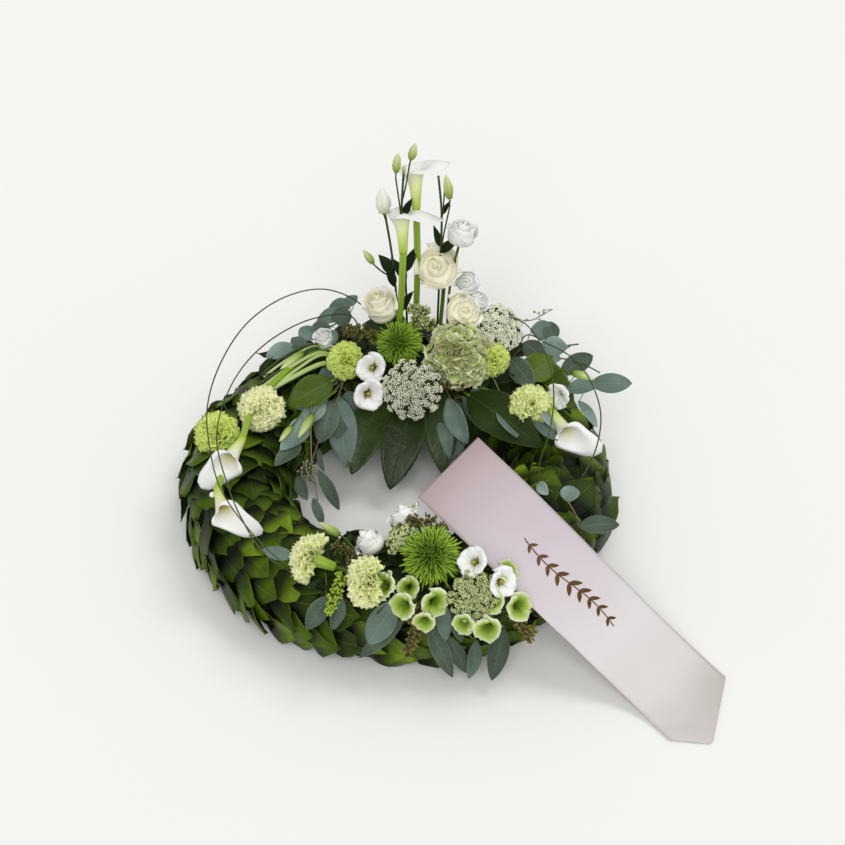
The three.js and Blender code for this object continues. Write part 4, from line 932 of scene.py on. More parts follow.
FLOWERS = [
    ("rose_top", rose_head, ["rose", "calyx"], "rose_petal",
     dict(at=[47, 185, 222], radius=29, height=46, lean=40, toward=258, seed=3)),
    ("rose_left", rose_head, ["rose", "calyx"], "rose_petal",
     dict(at=[-20, 162, 185], radius=21, height=50, lean=22, toward=225, seed=5, lip=0.24, ruffle=0.04)),
    ("rose_right", rose_head, ["rose", "calyx"], "rose_petal",
     dict(at=[78, 162, 175], radius=24, height=40, lean=46, toward=285, seed=8)),
    ("lisianthus_tall", double_head, ["lisianthus_double", "calyx"], "lisianthus_petal",
     dict(at=[76, 190, 271], radius=20, height=34, lean=10, toward=350, thick=1.6, seed=2,
          root=[58, 192, STEM_DEPTH])),
    ("lisianthus_back_right", double_head, ["lisianthus_double", "calyx"], "lisianthus_petal",
     dict(at=[83, 184, 202], radius=16, height=32, lean=40, toward=250, seed=4)),
    ("lisianthus_far_left", double_head, ["lisianthus_double", "calyx"], "lisianthus_petal",
     dict(at=[-88, 165, 131], radius=14, height=28, lean=25, toward=240, seed=6)),
    ("lisianthus_right", lisianthus_head, ["lisianthus", "calyx", "stamen"], "lisianthus_petal",
     dict(at=[193, 75, 122], radius=16, height=28, lean=70, toward=235, seed=7, open_up=0.8, stamens=False)),
    ("carnation_top_left", carnation_head, ["carnation_lime", "calyx"], "carnation_petal",
     dict(at=[-63, 121, 134], radius=23, height=36, lean=58, toward=215, seed=11)),
    ("carnation_top_right", carnation_head, ["carnation_lime", "calyx"], "carnation_petal",
     dict(at=[114, 121, 136], radius=20, height=36, lean=45, toward=300, seed=12)),
    ("carnation_left_upper", carnation_head, ["carnation_cream", "calyx"], "carnation_petal",
     dict(at=[-157, 46, 124], radius=28, height=36, lean=38, toward=265, seed=13)),
    ("carnation_left_lower", carnation_head, ["carnation_lime", "calyx"], "carnation_petal",
     dict(at=[-208, 20, 110], radius=27, height=34, lean=34, toward=226, seed=14)),
    ("carnation_right", carnation_head, ["carnation_pale", "calyx"], "carnation_petal",
     dict(at=[156, 55, 122], radius=26, height=34, lean=32, toward=265, seed=15)),
    ("carnation_front_left", carnation_head, ["carnation_cream", "calyx"], "carnation_petal",
     dict(at=[-86, -190, 118], radius=28, height=50, lean=78, toward=164, seed=16, calyx=27, cap=1.05)),
    ("carnation_front_middle", carnation_head, ["carnation_cream", "calyx"], "carnation_petal",
     dict(at=[-30, -222, 118], radius=29, height=38, lean=82, toward=184, seed=17)),
    ("chrysanthemum_top", chrysanthemum_head, ["chrysanthemum", "calyx"], "chrysanthemum_petal",
     dict(at=[2, 132, 152], radius=31, height=42, lean=42, toward=262, seed=21)),
    ("chrysanthemum_front", chrysanthemum_head, ["chrysanthemum", "calyx"], "chrysanthemum_petal",
     dict(at=[39, -205, 140], radius=36, height=46, lean=34, toward=268, seed=22)),
    ("hydrangea_top", hydrangea_head, ["hydrangea", "umbel_stalk"], "hydrangea_petal",
     dict(at=[71, 120, 142], radius=39, height=48, lean=46, toward=276, seed=23, count=72)),
    ("trachelium_middle", umbel_head, ["umbel_cream", "umbel_stalk"], "umbel_cream",
     dict(at=[18, 79, 124], radius=38, height=38, lean=50, toward=266, seed=24,
          groups=84, each=15, size=1.0, gap=0.115, sides=5)),
    ("trachelium_right", umbel_head, ["umbel_cream", "umbel_stalk"], "umbel_cream",
     dict(at=[120, 160, 149], radius=33, height=36, lean=34, toward=300, seed=25,
          groups=74, each=14, size=1.18, gap=0.12, sides=5)),
    ("sedum_left", umbel_head, ["umbel_green", "umbel_stalk"], "umbel_green",
     dict(at=[9, -170, 126], radius=20, height=28, lean=30, toward=200, seed=26,
          groups=44, each=12, size=1.15, gap=0.12, sides=6)),
    ("sedum_right", umbel_head, ["umbel_green", "umbel_stalk"], "umbel_green",
     dict(at=[84, -238, 112], radius=30, height=32, lean=52, toward=272, seed=27,
          groups=96, each=13, size=1.02, gap=0.1, sides=5)),
]

CLUSTERS = [
    ("lisianthus_left_pair", ["lisianthus", "calyx", "stamen"], "lisianthus_petal", 20, 28, 31, 5, 1.25,
     [[-28, 107, 135, 52, 256], [-34, 80, 119, 60, 282]]),
    ("lisianthus_front_pair", ["lisianthus", "calyx", "stamen"], "lisianthus_petal", 18, 26, 32, 5, 1.2,
     [[86, -212, 137, 46, 235], [112, -226, 123, 56, 300]]),
    ("lisianthus_hole_pair", ["lisianthus_double", "calyx", "stamen"], "lisianthus_petal", 18, 32, 33, 7, 0.7,
     [[10, -131, 122, 40, 110], [-27, -163, 118, 48, 150]]),
    ("green_bells_left", ["bells", "calyx", "stamen"], "bells_green", 17, 26, 34, 5, 0.8,
     [[-5, -222, 112, 56, 215], [15, -240, 104, 70, 232], [41, -237, 106, 66, 285]]),
    ("green_bells_right", ["bells", "calyx", "stamen"], "bells_green", 17, 26, 35, 5, 0.8,
     [[100, -260, 93, 80, 262], [128, -240, 101, 58, 300]]),
]
MORE_CLUSTERS = [
    ("green_bells_low", ["bells", "calyx", "stamen"], "bells_green", 14, 22, 36, 5, 0.8,
     [[34, -252, 95, 84, 256], [16, -224, 112, 50, 262], [76, -256, 95, 78, 250]]),
    ("green_bells_high", ["bells", "calyx", "stamen"], "bells_green", 14, 20, 37, 5, 0.9,
     [[106, -242, 107, 40, 250], [118, -214, 122, 30, 320]]),
    ("lisianthus_high", ["lisianthus_double", "calyx", "stamen"], "lisianthus_petal", 13, 24, 38, 6, 0.9,
     [[97, 172, 184, 44, 300]]),
    ("lisianthus_at_hole", ["bells", "calyx", "stamen"], "lisianthus_petal", 13, 24, 39, 6, 0.8,
     [[20, -120, 116, 50, 130]]),
]


def bell_cluster(name, looks, slot, radius, height, seed, petals, open_up, bells, extra=False):
    """Open cups or double heads on one branching stem"""
    rng = np.random.default_rng(seed)
    piece = Piece()
    frames = [head_frame(bell[:3], height, bell[3], bell[4]) for bell in bells]
    foot = root_below(frames[0][1])
    fork = frames[0][1] * 0.45 + foot * 0.55
    for matrix, base, axis in frames:
        if looks[0] == "lisianthus_double":
            head = double_head(radius, height, rng)
        else:
            head = lisianthus_head(radius, height, rng, petals, open_up, looks[0] == "lisianthus")
        piece.stamp(head, matrix[None], base[None])
        piece.tube(curve([base + 2 * axis, base * 0.6 + fork * 0.4 - axis * 4, fork], 7), 1.8, 6, look=3)
    piece.tube(np.linspace(fork * 0.9 + frames[0][1] * 0.1, foot, 3), 2.5, 6, look=3)
    materials = [LOOKS[n] for n in looks] + [LOOKS["stem"]]
    return piece.make(name, materials, None if extra else name)


# ---- callas -----------------------------------------------------------------------------------
SPATHE_TIP = [[4.2, 0], [6.2, 20], [8.5, 36], [13, 48], [22, 57], [34, 60]]
SPATHE_FLANK = [[4.2, 0], [6, 20], [8.2, 35], [12, 44], [20, 49], [28, 50]]
SPATHE_SEAM = [[4.2, 0], [5.6, 20], [7.4, 33], [9, 38], [10.5, 41], [12, 43]]


def calla(name, base, axis, tip, route, seed=1, droop=0.0, narrow=1.0, pull=5.0):
    """A tube that opens into one spathe around a spadix, on a thick bright stem. Its profiles
    (radius and height) are those on the side of its tip, on its flanks and at its seam."""
    rng = np.random.default_rng(seed)
    piece = Piece()
    rows, columns = 24, 36
    a = np.linspace(-math.pi * 1.08, math.pi * 1.08, columns + 1)[None, :]
    near = np.cos(np.clip(a, -math.pi, math.pi))
    to_tip, to_seam = np.where(near > 0, near, 0) ** 2, np.where(near < 0, near, 0) ** 2
    sides = (SPATHE_TIP, SPATHE_FLANK, SPATHE_SEAM)
    profiles = [curve([[r, z, 0] for r, z in side], rows + 1) for side in sides]
    weights = [to_tip, 1 - to_tip - to_seam, to_seam]
    out = sum(profile[:, :1] * weight for profile, weight in zip(profiles, weights))
    z = sum(profile[:, 1:2] * weight for profile, weight in zip(profiles, weights))
    u = np.linspace(0, 1, rows + 1)[:, None]
    limb = smooth(u, 0.55, 1.0)
    out = out * (1 + 0.07 * a / math.pi) * (1 - (1 - narrow) * limb * (1 - to_tip ** 3))
    out = out + (pull + 0.5 * droop) * limb ** 3 * to_tip ** 5
    z = z + 3 * limb ** 3 * to_tip ** 8 - droop * limb ** 2 * to_tip ** 0.8
    z = z + 1.8 * np.sin(2 * a + rng.uniform(0, 6)) * limb - 4 * smooth(u, 0.86, 1.0) * (1 - to_seam)
    grid = np.stack([out * np.cos(a), out * np.sin(a), z], -1)
    local = Piece()
    local.shell(grid[:, ::-1], 0.9, rng.uniform(0, 1), 1, 0)
    local.tube(np.linspace([0, 0, 14], [0.6, 0, 33], 7), [2.2, 2.3, 2.3, 2.2, 2.0, 1.7, 0.8], 10, look=1)
    axis = unit(axis)
    matrix = basis(axis, np.array(tip, float))
    piece.stamp(local, matrix[None], np.array([base], float))
    start = np.array(base, float)
    path = curve([start + 3 * axis, *route], 26)
    piece.tube(path, np.linspace(4.1, 3.4, 26), 12, look=2)
    return piece.make(name, [LOOKS["calla"], LOOKS["spadix"], LOOKS["calla_stem"]], name)


CALLAS = [
    dict(name="calla_tall", base=[23, 188, 304], axis=[-0.04, 0.4, 0.92], tip=[1, 0.3, 0], droop=6,
         route=[[24, 194, 220], [22, 196, 130], [21, 196, STEM_DEPTH]], seed=41),
    dict(name="calla_short", base=[8, 158, 264], axis=[-0.05, 0.4, 0.92], tip=[1, 0, -0.2], droop=20,
         route=[[5, 160, 200], [0, 164, 120], [-2, 174, STEM_DEPTH]], seed=42),
    dict(name="calla_left_upper", base=[-174, -8, 128], axis=[-0.30, -0.95, 0.08], tip=[-0.65, 0.1, -0.8],
         route=[[-166, 45, 124], [-130, 112, 126], [-88, 156, 118], [-62, 173, STEM_DEPTH]], seed=43,
         narrow=0.7, pull=13),
    dict(name="calla_left_lower", base=[-198, -82, 120], axis=[0.24, -0.96, 0.06], tip=[0.8, 0, -0.55],
         route=[[-196, -52, 112], [-188, 0, 100], [-178, 44, STEM_DEPTH]], seed=44,
         narrow=0.7, pull=13),
    dict(name="calla_right", base=[180, 44, 122], axis=[0.32, -0.94, 0.06], tip=[0.8, 0, -0.5],
         route=[[172, 66, 121], [160, 90, 104], [153, 104, STEM_DEPTH]], seed=45,
         narrow=0.7, pull=13),
]


# ---- bud sprays -------------------------------------------------------------------------------
BUD_SPRAYS = {
    "bud_spray_tall": ([[12, 190, STEM_DEPTH], [10, 192, 200], [6, 186, 300], [9, 182, 366]], [
        ([6, 187, 290], [0, 181, 362], 5, 26, 6, 0, "bud"),
        ([7, 185, 320], [17, 180, 380], 5, 22, 14, 0, "bud"),
        ([9, 182, 350], [9, 181, 360], 2.4, 12, 0, 0, "bud"),
    ]),
    "bud_spray_left": ([[2, 190, STEM_DEPTH], [0, 191, 150], [-5, 190, 230], [-13, 186, 300]], [
        ([-12, 186, 292], [-14, 185, 302], 9, 36, 4, 180, "bud_white"),
        ([-4, 189, 205], [-28, 182, 232], 4.5, 22, 30, 180, "bud"),
    ]),
    "bud_spray_right": ([[46, 196, STEM_DEPTH], [50, 194, 200], [52, 186, 300], [48, 181, 356]], [
        ([51, 193, 240], [61, 181, 325], 5.5, 34, 8, 180, "bud"),
        ([52, 187, 290], [56, 181, 340], 1.8, 14, 10, 0, "bud"),
    ]),
}
SPRAY_LEAVES = {
    "bud_spray_tall": [([9, 187, 298], [17, 182, 320], 9), ([9, 190, 212], [22, 184, 248], 12),
                       ([11, 191, 200], [-6, 184, 232], 12)],
    "bud_spray_left": [([-4, 188, 212], [-21, 184, 238], 15), ([-3, 190, 190], [-12, 184, 226], 11),
                       ([0, 191, 160], [-24, 184, 184], 13), ([0, 191, 150], [18, 184, 182], 12)],
    "bud_spray_right": [([52, 189, 296], [61, 182, 317], 6), ([51, 192, 248], [44, 184, 278], 9),
                        ([51, 192, 240], [72, 184, 262], 12), ([50, 194, 196], [34, 184, 220], 13)],
}


def bud_spray(name, trunk, forks, seed):
    """Buds on thin stems that fork from one stem, with a few narrow leaves"""
    rng = np.random.default_rng(seed)
    piece = Piece()
    piece.tube(curve(trunk, 22), 1.5, 6, look=2)
    for start, at, radius, height, lean, toward, look in forks:
        axis = leaning(lean, toward)
        matrix, base = head_frame(np.array(at) + axis * height / 2, height, lean, toward)[:2]
        sag = np.array(start) * 0.6 + base * 0.4 + [0, 0, -3]
        piece.tube(curve([start, sag, base - axis * 4, base + axis], 9), 1.0, 6, look=2)
        piece.stamp(bud_head(radius, height, rng, 0 if look == "bud" else 4), matrix[None], base[None])
    for base, tip, width in SPRAY_LEAVES[name]:
        base, tip = np.array(base, float), np.array(tip, float)
        way = tip - base
        grid = blade(np.linalg.norm(way), oval(width, 0.4, 0.9), 8, 6, bend=-0.5, trough=0.25)
        piece.shell(placed(grid, base, unit(way) + UP * 0.25, VIEWER), 0.5, rng.uniform(0, 0.3), 0.5, 3)
    looks = [LOOKS[n] for n in ("bud", "calyx", "dark_stem", "filler", "bud_white")]
    return piece.make(name, looks, name)


# ---- greenery ---------------------------------------------------------------------------------
LONGEST_LEAF_STALK = 45


def leaf_blade(piece, base, tip, width, rng, stems):
    """One leaf from its base to its tip, arched, and a stalk from the nearest twig"""
    base, tip = np.array(base, float), np.array(tip, float)
    way = tip - base
    facing = unit(VIEWER + rng.normal(0, 0.22, 3))
    bend = rng.uniform(0.15, 0.6)
    length = np.linalg.norm(way) * (1 + bend ** 2 / 20)
    grid = blade(length, oval(width, rng.uniform(0.42, 0.52), 0.72), 12, 8, bend=-bend,
                 curl=rng.uniform(-0.2, 0.2), trough=rng.uniform(0.0, 0.28), twist=rng.normal(0, 0.18),
                 ripple=rng.uniform(0, 0.7), phase=rng.uniform(0, 6))
    way = unit(way)
    lift = unit(facing - way * (facing @ way))
    way = way * math.cos(bend / 2) + lift * math.sin(bend / 2)
    grid = placed(grid, base, way, facing)
    grid[..., 2] = np.maximum(grid[..., 2], 1.5)
    piece.shell(grid, 0.55, rng.uniform(0, 1))
    twigs = np.vstack(stems)
    distance = np.linalg.norm(twigs - base, axis=1)
    nearest = twigs[np.argmin(distance)]
    middle = (nearest + base) / 2 - way * 2
    if distance.min() < LONGEST_LEAF_STALK:
        piece.tube(curve([nearest, middle, base + way * 2], 6), 0.55, 4, look=1)


def eucalyptus(name, route, leaves, seed, twigs=()):
    """A branch: its leaves are given by base, tip and width"""
    rng = np.random.default_rng(seed)
    piece = Piece()
    stems = [curve(path, 30) for path in (route, *twigs)]
    for path in stems:
        piece.tube(path, np.linspace(1.4, 0.7, 30), 6, look=1)
    for base, tip, width in leaves:
        leaf_blade(piece, base, tip, width, rng, stems)
    return piece.make(name, [LOOKS["eucalyptus"], LOOKS["twig"]], name)


EUCALYPTUS = [
    dict(name="eucalyptus_back_left", seed=51,
         route=[[-38, 178, STEM_DEPTH], [-62, 198, 128], [-92, 180, 130], [-118, 158, 122]],
         leaves=[([-122, 160, 124], [-157, 143, 121], 22), ([-99, 168, 127], [-118, 186, 131], 22),
                 ([-66, 205, 142], [-98, 188, 138], 20), ([-56, 212, 148], [-84, 207, 143], 20),
                 ([-55, 195, 142], [-80, 192, 142], 26), ([-49, 224, 150], [-66, 208, 145], 15),
                 ([-110, 152, 124], [-126, 174, 126], 18), ([-80, 184, 134], [-106, 178, 130], 22),
                 ([-72, 176, 132], [-92, 158, 130], 20), ([-94, 160, 124], [-128, 140, 118], 20)]),
    dict(name="eucalyptus_hole_left", seed=52,
         route=[[-50, 160, STEM_DEPTH], [-58, 124, 118], [-68, 98, 104], [-78, 66, 92]],
         twigs=[[[-62, 112, 112], [-86, 82, 104], [-106, 62, 96]]],
         leaves=[([-80, 90, 104], [-124, 70, 108], 27), ([-102, 62, 96], [-134, 4, 98], 26),
                 ([-76, 92, 98], [-90, 40, 76], 30), ([-68, 95, 100], [-59, 28, 48], 36),
                 ([-60, 106, 100], [-46, 78, 74], 26), ([-73, 128, 112], [-92, 106, 108], 26),
                 ([-66, 100, 98], [-70, 50, 74], 28), ([-84, 84, 102], [-112, 48, 100], 24)]),
    dict(name="eucalyptus_hole_hanging", seed=53,
         route=[[-96, 140, STEM_DEPTH], [-100, 84, 112], [-100, 44, 98], [-98, 4, 76], [-90, -36, 56]],
         leaves=[([-112, 27, 90], [-140, -12, 88], 20), ([-91, -1, 72], [-66, -42, 46], 16),
                 ([-96, -36, 60], [-84, -60, 40], 12), ([-112, -28, 88], [-100, -66, 86], 16),
                 ([-92, 35, 72], [-84, 8, 60], 9)]),
    dict(name="eucalyptus_hole_middle", seed=54,
         route=[[44, 164, STEM_DEPTH], [50, 126, 112], [60, 104, 98], [68, 92, 90]],
         twigs=[[[40, 120, 108], [10, 112, 92], [-20, 110, 88]]],
         leaves=[([52, 102, 88], [62, 40, 50], 19), ([60, 100, 94], [84, 50, 66], 27),
                 ([74, 86, 76], [70, 50, 44], 20), ([77, 100, 98], [101, 52, 84], 13),
                 ([73, 97, 92], [78, 66, 72], 14), ([50, 108, 132], [46, 88, 124], 16),
                 ([-26, 107, 90], [-59, 74, 58], 19), ([-9, 108, 82], [-24, 78, 56], 19),
                 ([8, 108, 80], [17, 82, 58], 15)]),
    dict(name="eucalyptus_right_front", seed=55,
         route=[[112, 134, STEM_DEPTH], [112, 112, 118], [122, 84, 114], [134, 56, 112]],
         leaves=[([86, 100, 106], [136, 55, 112], 24), ([120, 66, 108], [138, 14, 108], 27),
                 ([135, 128, 132], [160, 78, 130], 27), ([158, 32, 118], [184, -4, 120], 15),
                 ([168, 56, 120], [182, 14, 120], 18)]),
    dict(name="eucalyptus_right_back", seed=56,
         route=[[120, 148, STEM_DEPTH], [150, 146, 132], [190, 118, 126], [230, 94, 121]],
         leaves=[([192, 108, 122], [233, 138, 128], 25), ([226, 95, 121], [276, 93, 123], 24),
                 ([198, 82, 119], [238, 95, 121], 21), ([212, 70, 116], [232, 32, 108], 13),
                 ([158, 158, 150], [188, 164, 145], 24), ([170, 143, 140], [202, 140, 138], 24),
                 ([166, 136, 134], [194, 128, 130], 22), ([186, 148, 140], [180, 172, 152], 20),
                 ([150, 150, 138], [174, 128, 132], 24)]),
    dict(name="eucalyptus_right_low", seed=57,
         route=[[172, -50, STEM_DEPTH], [188, -84, 108], [204, -112, 98]],
         leaves=[([202, -118, 96], [250, -104, 86], 22), ([192, -92, 108], [197, -66, 110], 22),
                 ([159, -67, 114], [170, -84, 112], 14)]),
    dict(name="eucalyptus_front_left", seed=58,
         route=[[-70, -168, STEM_DEPTH], [-50, -196, 112], [-20, -220, 108], [4, -238, 98]],
         twigs=[[[-60, -186, 110], [-84, -190, 114], [-106, -182, 113]]],
         leaves=[([2, -235, 104], [-28, -262, 62], 30), ([10, -250, 88], [-37, -263, 44], 16),
                 ([-72, -224, 98], [-94, -242, 64], 22), ([-108, -181, 114], [-144, -168, 110], 15),
                 ([-58, -222, 100], [-66, -248, 70], 18)]),
    dict(name="eucalyptus_front_right", seed=59,
         route=[[56, -176, STEM_DEPTH], [60, -222, 104], [66, -244, 80], [84, -248, 56]],
         twigs=[[[64, -236, 90], [92, -240, 72], [116, -232, 60]]],
         leaves=[([50, -236, 103], [55, -262, 68], 18), ([60, -242, 90], [72, -258, 62], 13),
                 ([36, -248, 80], [62, -274, 24], 20), ([56, -250, 64], [78, -268, 24], 17),
                 ([88, -244, 50], [80, -275, 22], 19), ([118, -232, 56], [104, -277, 22], 23)]),
]


LEAF_TEETH = 11


def serrated(width):
    """Half width of a leaf with a finely toothed edge"""
    plain = oval(width, 0.42, 0.75)

    def outline(u):
        saw = 1 - 0.07 * ((u * LEAF_TEETH) % 1.0) * (u > 0.12)
        return np.maximum(plain(u) * saw, 0.35)
    return outline


def glossy_leaf(name, base, tip, width, seed, look="glossy", extra=False):
    """One broad leaf. An extra one has no solid that it replaces."""
    piece = Piece()
    rng = np.random.default_rng(seed)
    base, tip = np.array(base, float), np.array(tip, float)
    way = tip - base
    grid = blade(np.linalg.norm(way), serrated(width), 33, 10, bend=-0.5, trough=0.14, ripple=1.6,
                 waves=1.5, phase=rng.uniform(0, 6))
    way = unit(unit(way) + VIEWER * 0.24)
    piece.shell(placed(grid, base, way, VIEWER), 0.9, rng.uniform(0.2, 0.8), 0.5, 0)
    piece.tube(np.linspace(base - way * 12 - VIEWER * 3, base + way * 3, 4), 1.5, 6, look=1)
    return piece.make(name, [LOOKS[look], LOOKS["stem"]], None if extra else name)


SEEDS_IN_CLUSTER = 190
SEEDS = {
    "seed_cluster_front": [[14, -190, STEM_DEPTH], [20, -234, 92], [22, -256, 78], [12, -268, 50]],
    "seed_cluster_right": [[110, -170, STEM_DEPTH], [120, -226, 92], [132, -248, 88], [146, -258, 68]],
}


def seed_cluster(name, route, seed):
    """Dry seeds on short stalks along the lower part of one stem"""
    rng = np.random.default_rng(seed)
    piece = Piece()
    path = curve(route, 30)
    piece.tube(path, 1.3, 6, look=1)
    spots, ways = [], []
    for _ in range(SEEDS_IN_CLUSTER):
        at = path[int((0.42 + 0.58 * rng.uniform()) * 29)]
        way = unit(rng.normal(0, 1, 3) + [0, -0.4, -0.3])
        end = at + way * rng.uniform(4, 9)
        piece.tube(curve([at, (at + end) / 2 + UP, end], 4), 0.4, 3, look=1)
        spots.append(end)
        ways.append(way)
    piece.scatter(bead_template(3, 6, 1.5), spots, ways, rng.uniform(1.2, 2.1, SEEDS_IN_CLUSTER), rng)
    return piece.make(name, [LOOKS["seed"], LOOKS["twig"]], name)


GRASS_RADIUS = 0.8
GRASS_LOOPS = {
    "grass_loop_left_outer": [
        [-30, 184, 70], [-36, 192, 150], [-80, 172, 200], [-125, 136, 220], [-168, 80, 226],
        [-196, 10, 220], [-206, -45, 206], [-201, -90, 190], [-188, -132, 170], [-158, -172, 150],
        [-118, -206, 130], [-84, -196, 100], [-70, -176, 66],
    ],
    "grass_loop_left_inner": [
        [-44, 182, 70], [-52, 180, 150], [-95, 138, 185], [-140, 84, 200], [-172, 24, 206],
        [-190, -34, 201], [-194, -80, 190], [-182, -122, 170], [-164, -160, 150],
        [-138, -192, 128], [-112, -190, 100], [-96, -162, 66],
    ],
    "grass_loop_right_inner": [
        [104, 154, 66], [118, 186, 140], [145, 136, 182], [165, 70, 202], [175, 20, 200],
        [176, -16, 185], [170, -40, 160], [161, -52, 130], [160, -70, 66],
    ],
    "grass_loop_right_outer": [
        [138, 122, 66], [150, 158, 138], [176, 106, 172], [205, 58, 187], [221, 18, 186],
        [229, -20, 174], [224, -46, 150], [210, -62, 122], [182, -64, 66],
    ],
}


def grass_loop(name, route):
    """A stalk of steel grass bent over, with both its ends in the foam"""
    piece = Piece()
    piece.tube(curve(route, 110), GRASS_RADIUS, 6)
    return piece.make(name, [LOOKS["grass"]], name)


PEARL_RADIUS = 3.4
PIN_LENGTH = 26


def pearl_pin(name, spot):
    """A florist's pin: a pearl head on a steel shaft that goes in towards the foam"""
    piece = Piece()
    spot = np.array(spot, float)
    inwards = unit(root_below(spot) - spot)
    polar = np.linspace(0.05, math.pi - 0.05, 12)
    profile = [(PEARL_RADIUS * math.sin(a), -PEARL_RADIUS * math.cos(a)) for a in polar]
    head = Piece()
    head.lathe(profile, 20)
    piece.stamp(head, np.eye(3)[None], spot[None])
    piece.tube(np.linspace(spot, spot + inwards * PIN_LENGTH, 3), 0.7, 8, look=1)
    return piece.make(name, [LOOKS["pearl"], LOOKS["steel"]], name)


# ---- small fillers between the named pieces: they show only here --------------------------------
def undergrowth(name, start, end, count, seed, spread=44, low=0, high=16):
    """Dark leaves close over the crest that hide the foam between the flowers"""
    rng = np.random.default_rng(seed)
    piece = Piece()
    for i in range(count):
        angle = math.radians(start + (end - start) * (i + rng.uniform(0.2, 0.8)) / count)
        out = rng.uniform(-spread, spread)
        height = SHOULDER + (RING_HEIGHT - SHOULDER) * math.sqrt(1 - (out / (RING_HALF_WIDTH + 4)) ** 2)
        radius = RING_RADIUS + out
        spot = np.array([radius * math.cos(angle), radius * math.sin(angle), height + rng.uniform(low, high)])
        turn, rise = rng.uniform(0, 2 * math.pi), rng.uniform(-0.1, 0.7)
        way = np.array([math.cos(turn) * math.cos(rise), math.sin(turn) * math.cos(rise), math.sin(rise)])
        length, width = rng.uniform(26, 46), rng.uniform(14, 24)
        grid = blade(length, oval(width, 0.42, 0.8), 7, 6, bend=rng.uniform(-0.9, -0.1),
                     trough=rng.uniform(0, 0.4), ripple=rng.uniform(0, 1.5), phase=rng.uniform(0, 6))
        grid = placed(grid, spot - way * length * 0.4, way, unit(UP + rng.normal(0, 0.3, 3)))
        piece.shell(grid, 0.5, rng.uniform(0, 1), 0.5, 0)
    return piece.make(name, [LOOKS["filler"]])


def bead_ball(piece, middle, reach, count, size, rng):
    """Beads all round a middle, each on its own thin stalk"""
    spots, ways = [], []
    for _ in range(count):
        way = unit(rng.normal(0, 1, 3))
        end = np.array(middle) + way * reach * rng.uniform(0.55, 1.0)
        piece.tube(np.linspace(middle, end, 2), 0.3, 3, look=1)
        spots.append(end)
        ways.append(way)
    piece.scatter(bead_template(3, 6, 1.3), spots, ways, size * rng.uniform(0.7, 1.15, count), rng)


def seed_ball(name, looks, stem_route, balls, seed, size, each):
    """A stem with balls of beads, each ball given by its middle and how far it reaches"""
    rng = np.random.default_rng(seed)
    piece = Piece()
    piece.tube(curve(stem_route, 16), 0.8, 5, look=1)
    for middle, reach in balls:
        bead_ball(piece, middle, reach, each, size, rng)
    return piece.make(name, [LOOKS[n] for n in looks])


def loose_buds(name, buds, seed):
    """Long pale buds, each with a curved stalk behind it"""
    rng = np.random.default_rng(seed)
    piece = Piece()
    for base, tip, radius, stalk in buds:
        base, tip = np.array(base, float), np.array(tip, float)
        height = np.linalg.norm(tip - base)
        axis = unit(tip - base)
        piece.stamp(bud_head(radius, height, rng), basis(axis, any_side(axis))[None], base[None])
        piece.tube(curve([base + axis, base - axis * 8, *stalk], 12), 0.9, 6, look=2)
    return piece.make(name, [LOOKS[n] for n in ("bud", "calyx", "stem")])


def loose_stems(name, routes, look):
    """Bare stems, each given by its route and radius"""
    piece = Piece()
    for route, radius in routes:
        piece.tube(curve(route, 24), radius, 8, look=0)
    return piece.make(name, [LOOKS[look]])


def berry_twig(name, route, berries, seed):
    """A thin twig with single berries on short stalks"""
    rng = np.random.default_rng(seed)
    piece = Piece()
    path = curve(route, 20)
    piece.tube(path, 0.6, 5, look=1)
    bead = bead_template(3, 7, 1.0)
    for i in range(berries):
        at = path[int(19 * (0.35 + 0.65 * i / (berries - 1)))]
        end = at + rng.normal(0, 1, 3) * [5, 2, 4]
        piece.tube(np.linspace(at, end, 2), 0.35, 4, look=1)
        piece.stamp(bead, np.eye(3)[None] * rng.uniform(1.2, 2.0), end[None])
    return piece.make(name, [LOOKS["seed_pale"], LOOKS["twig"]])


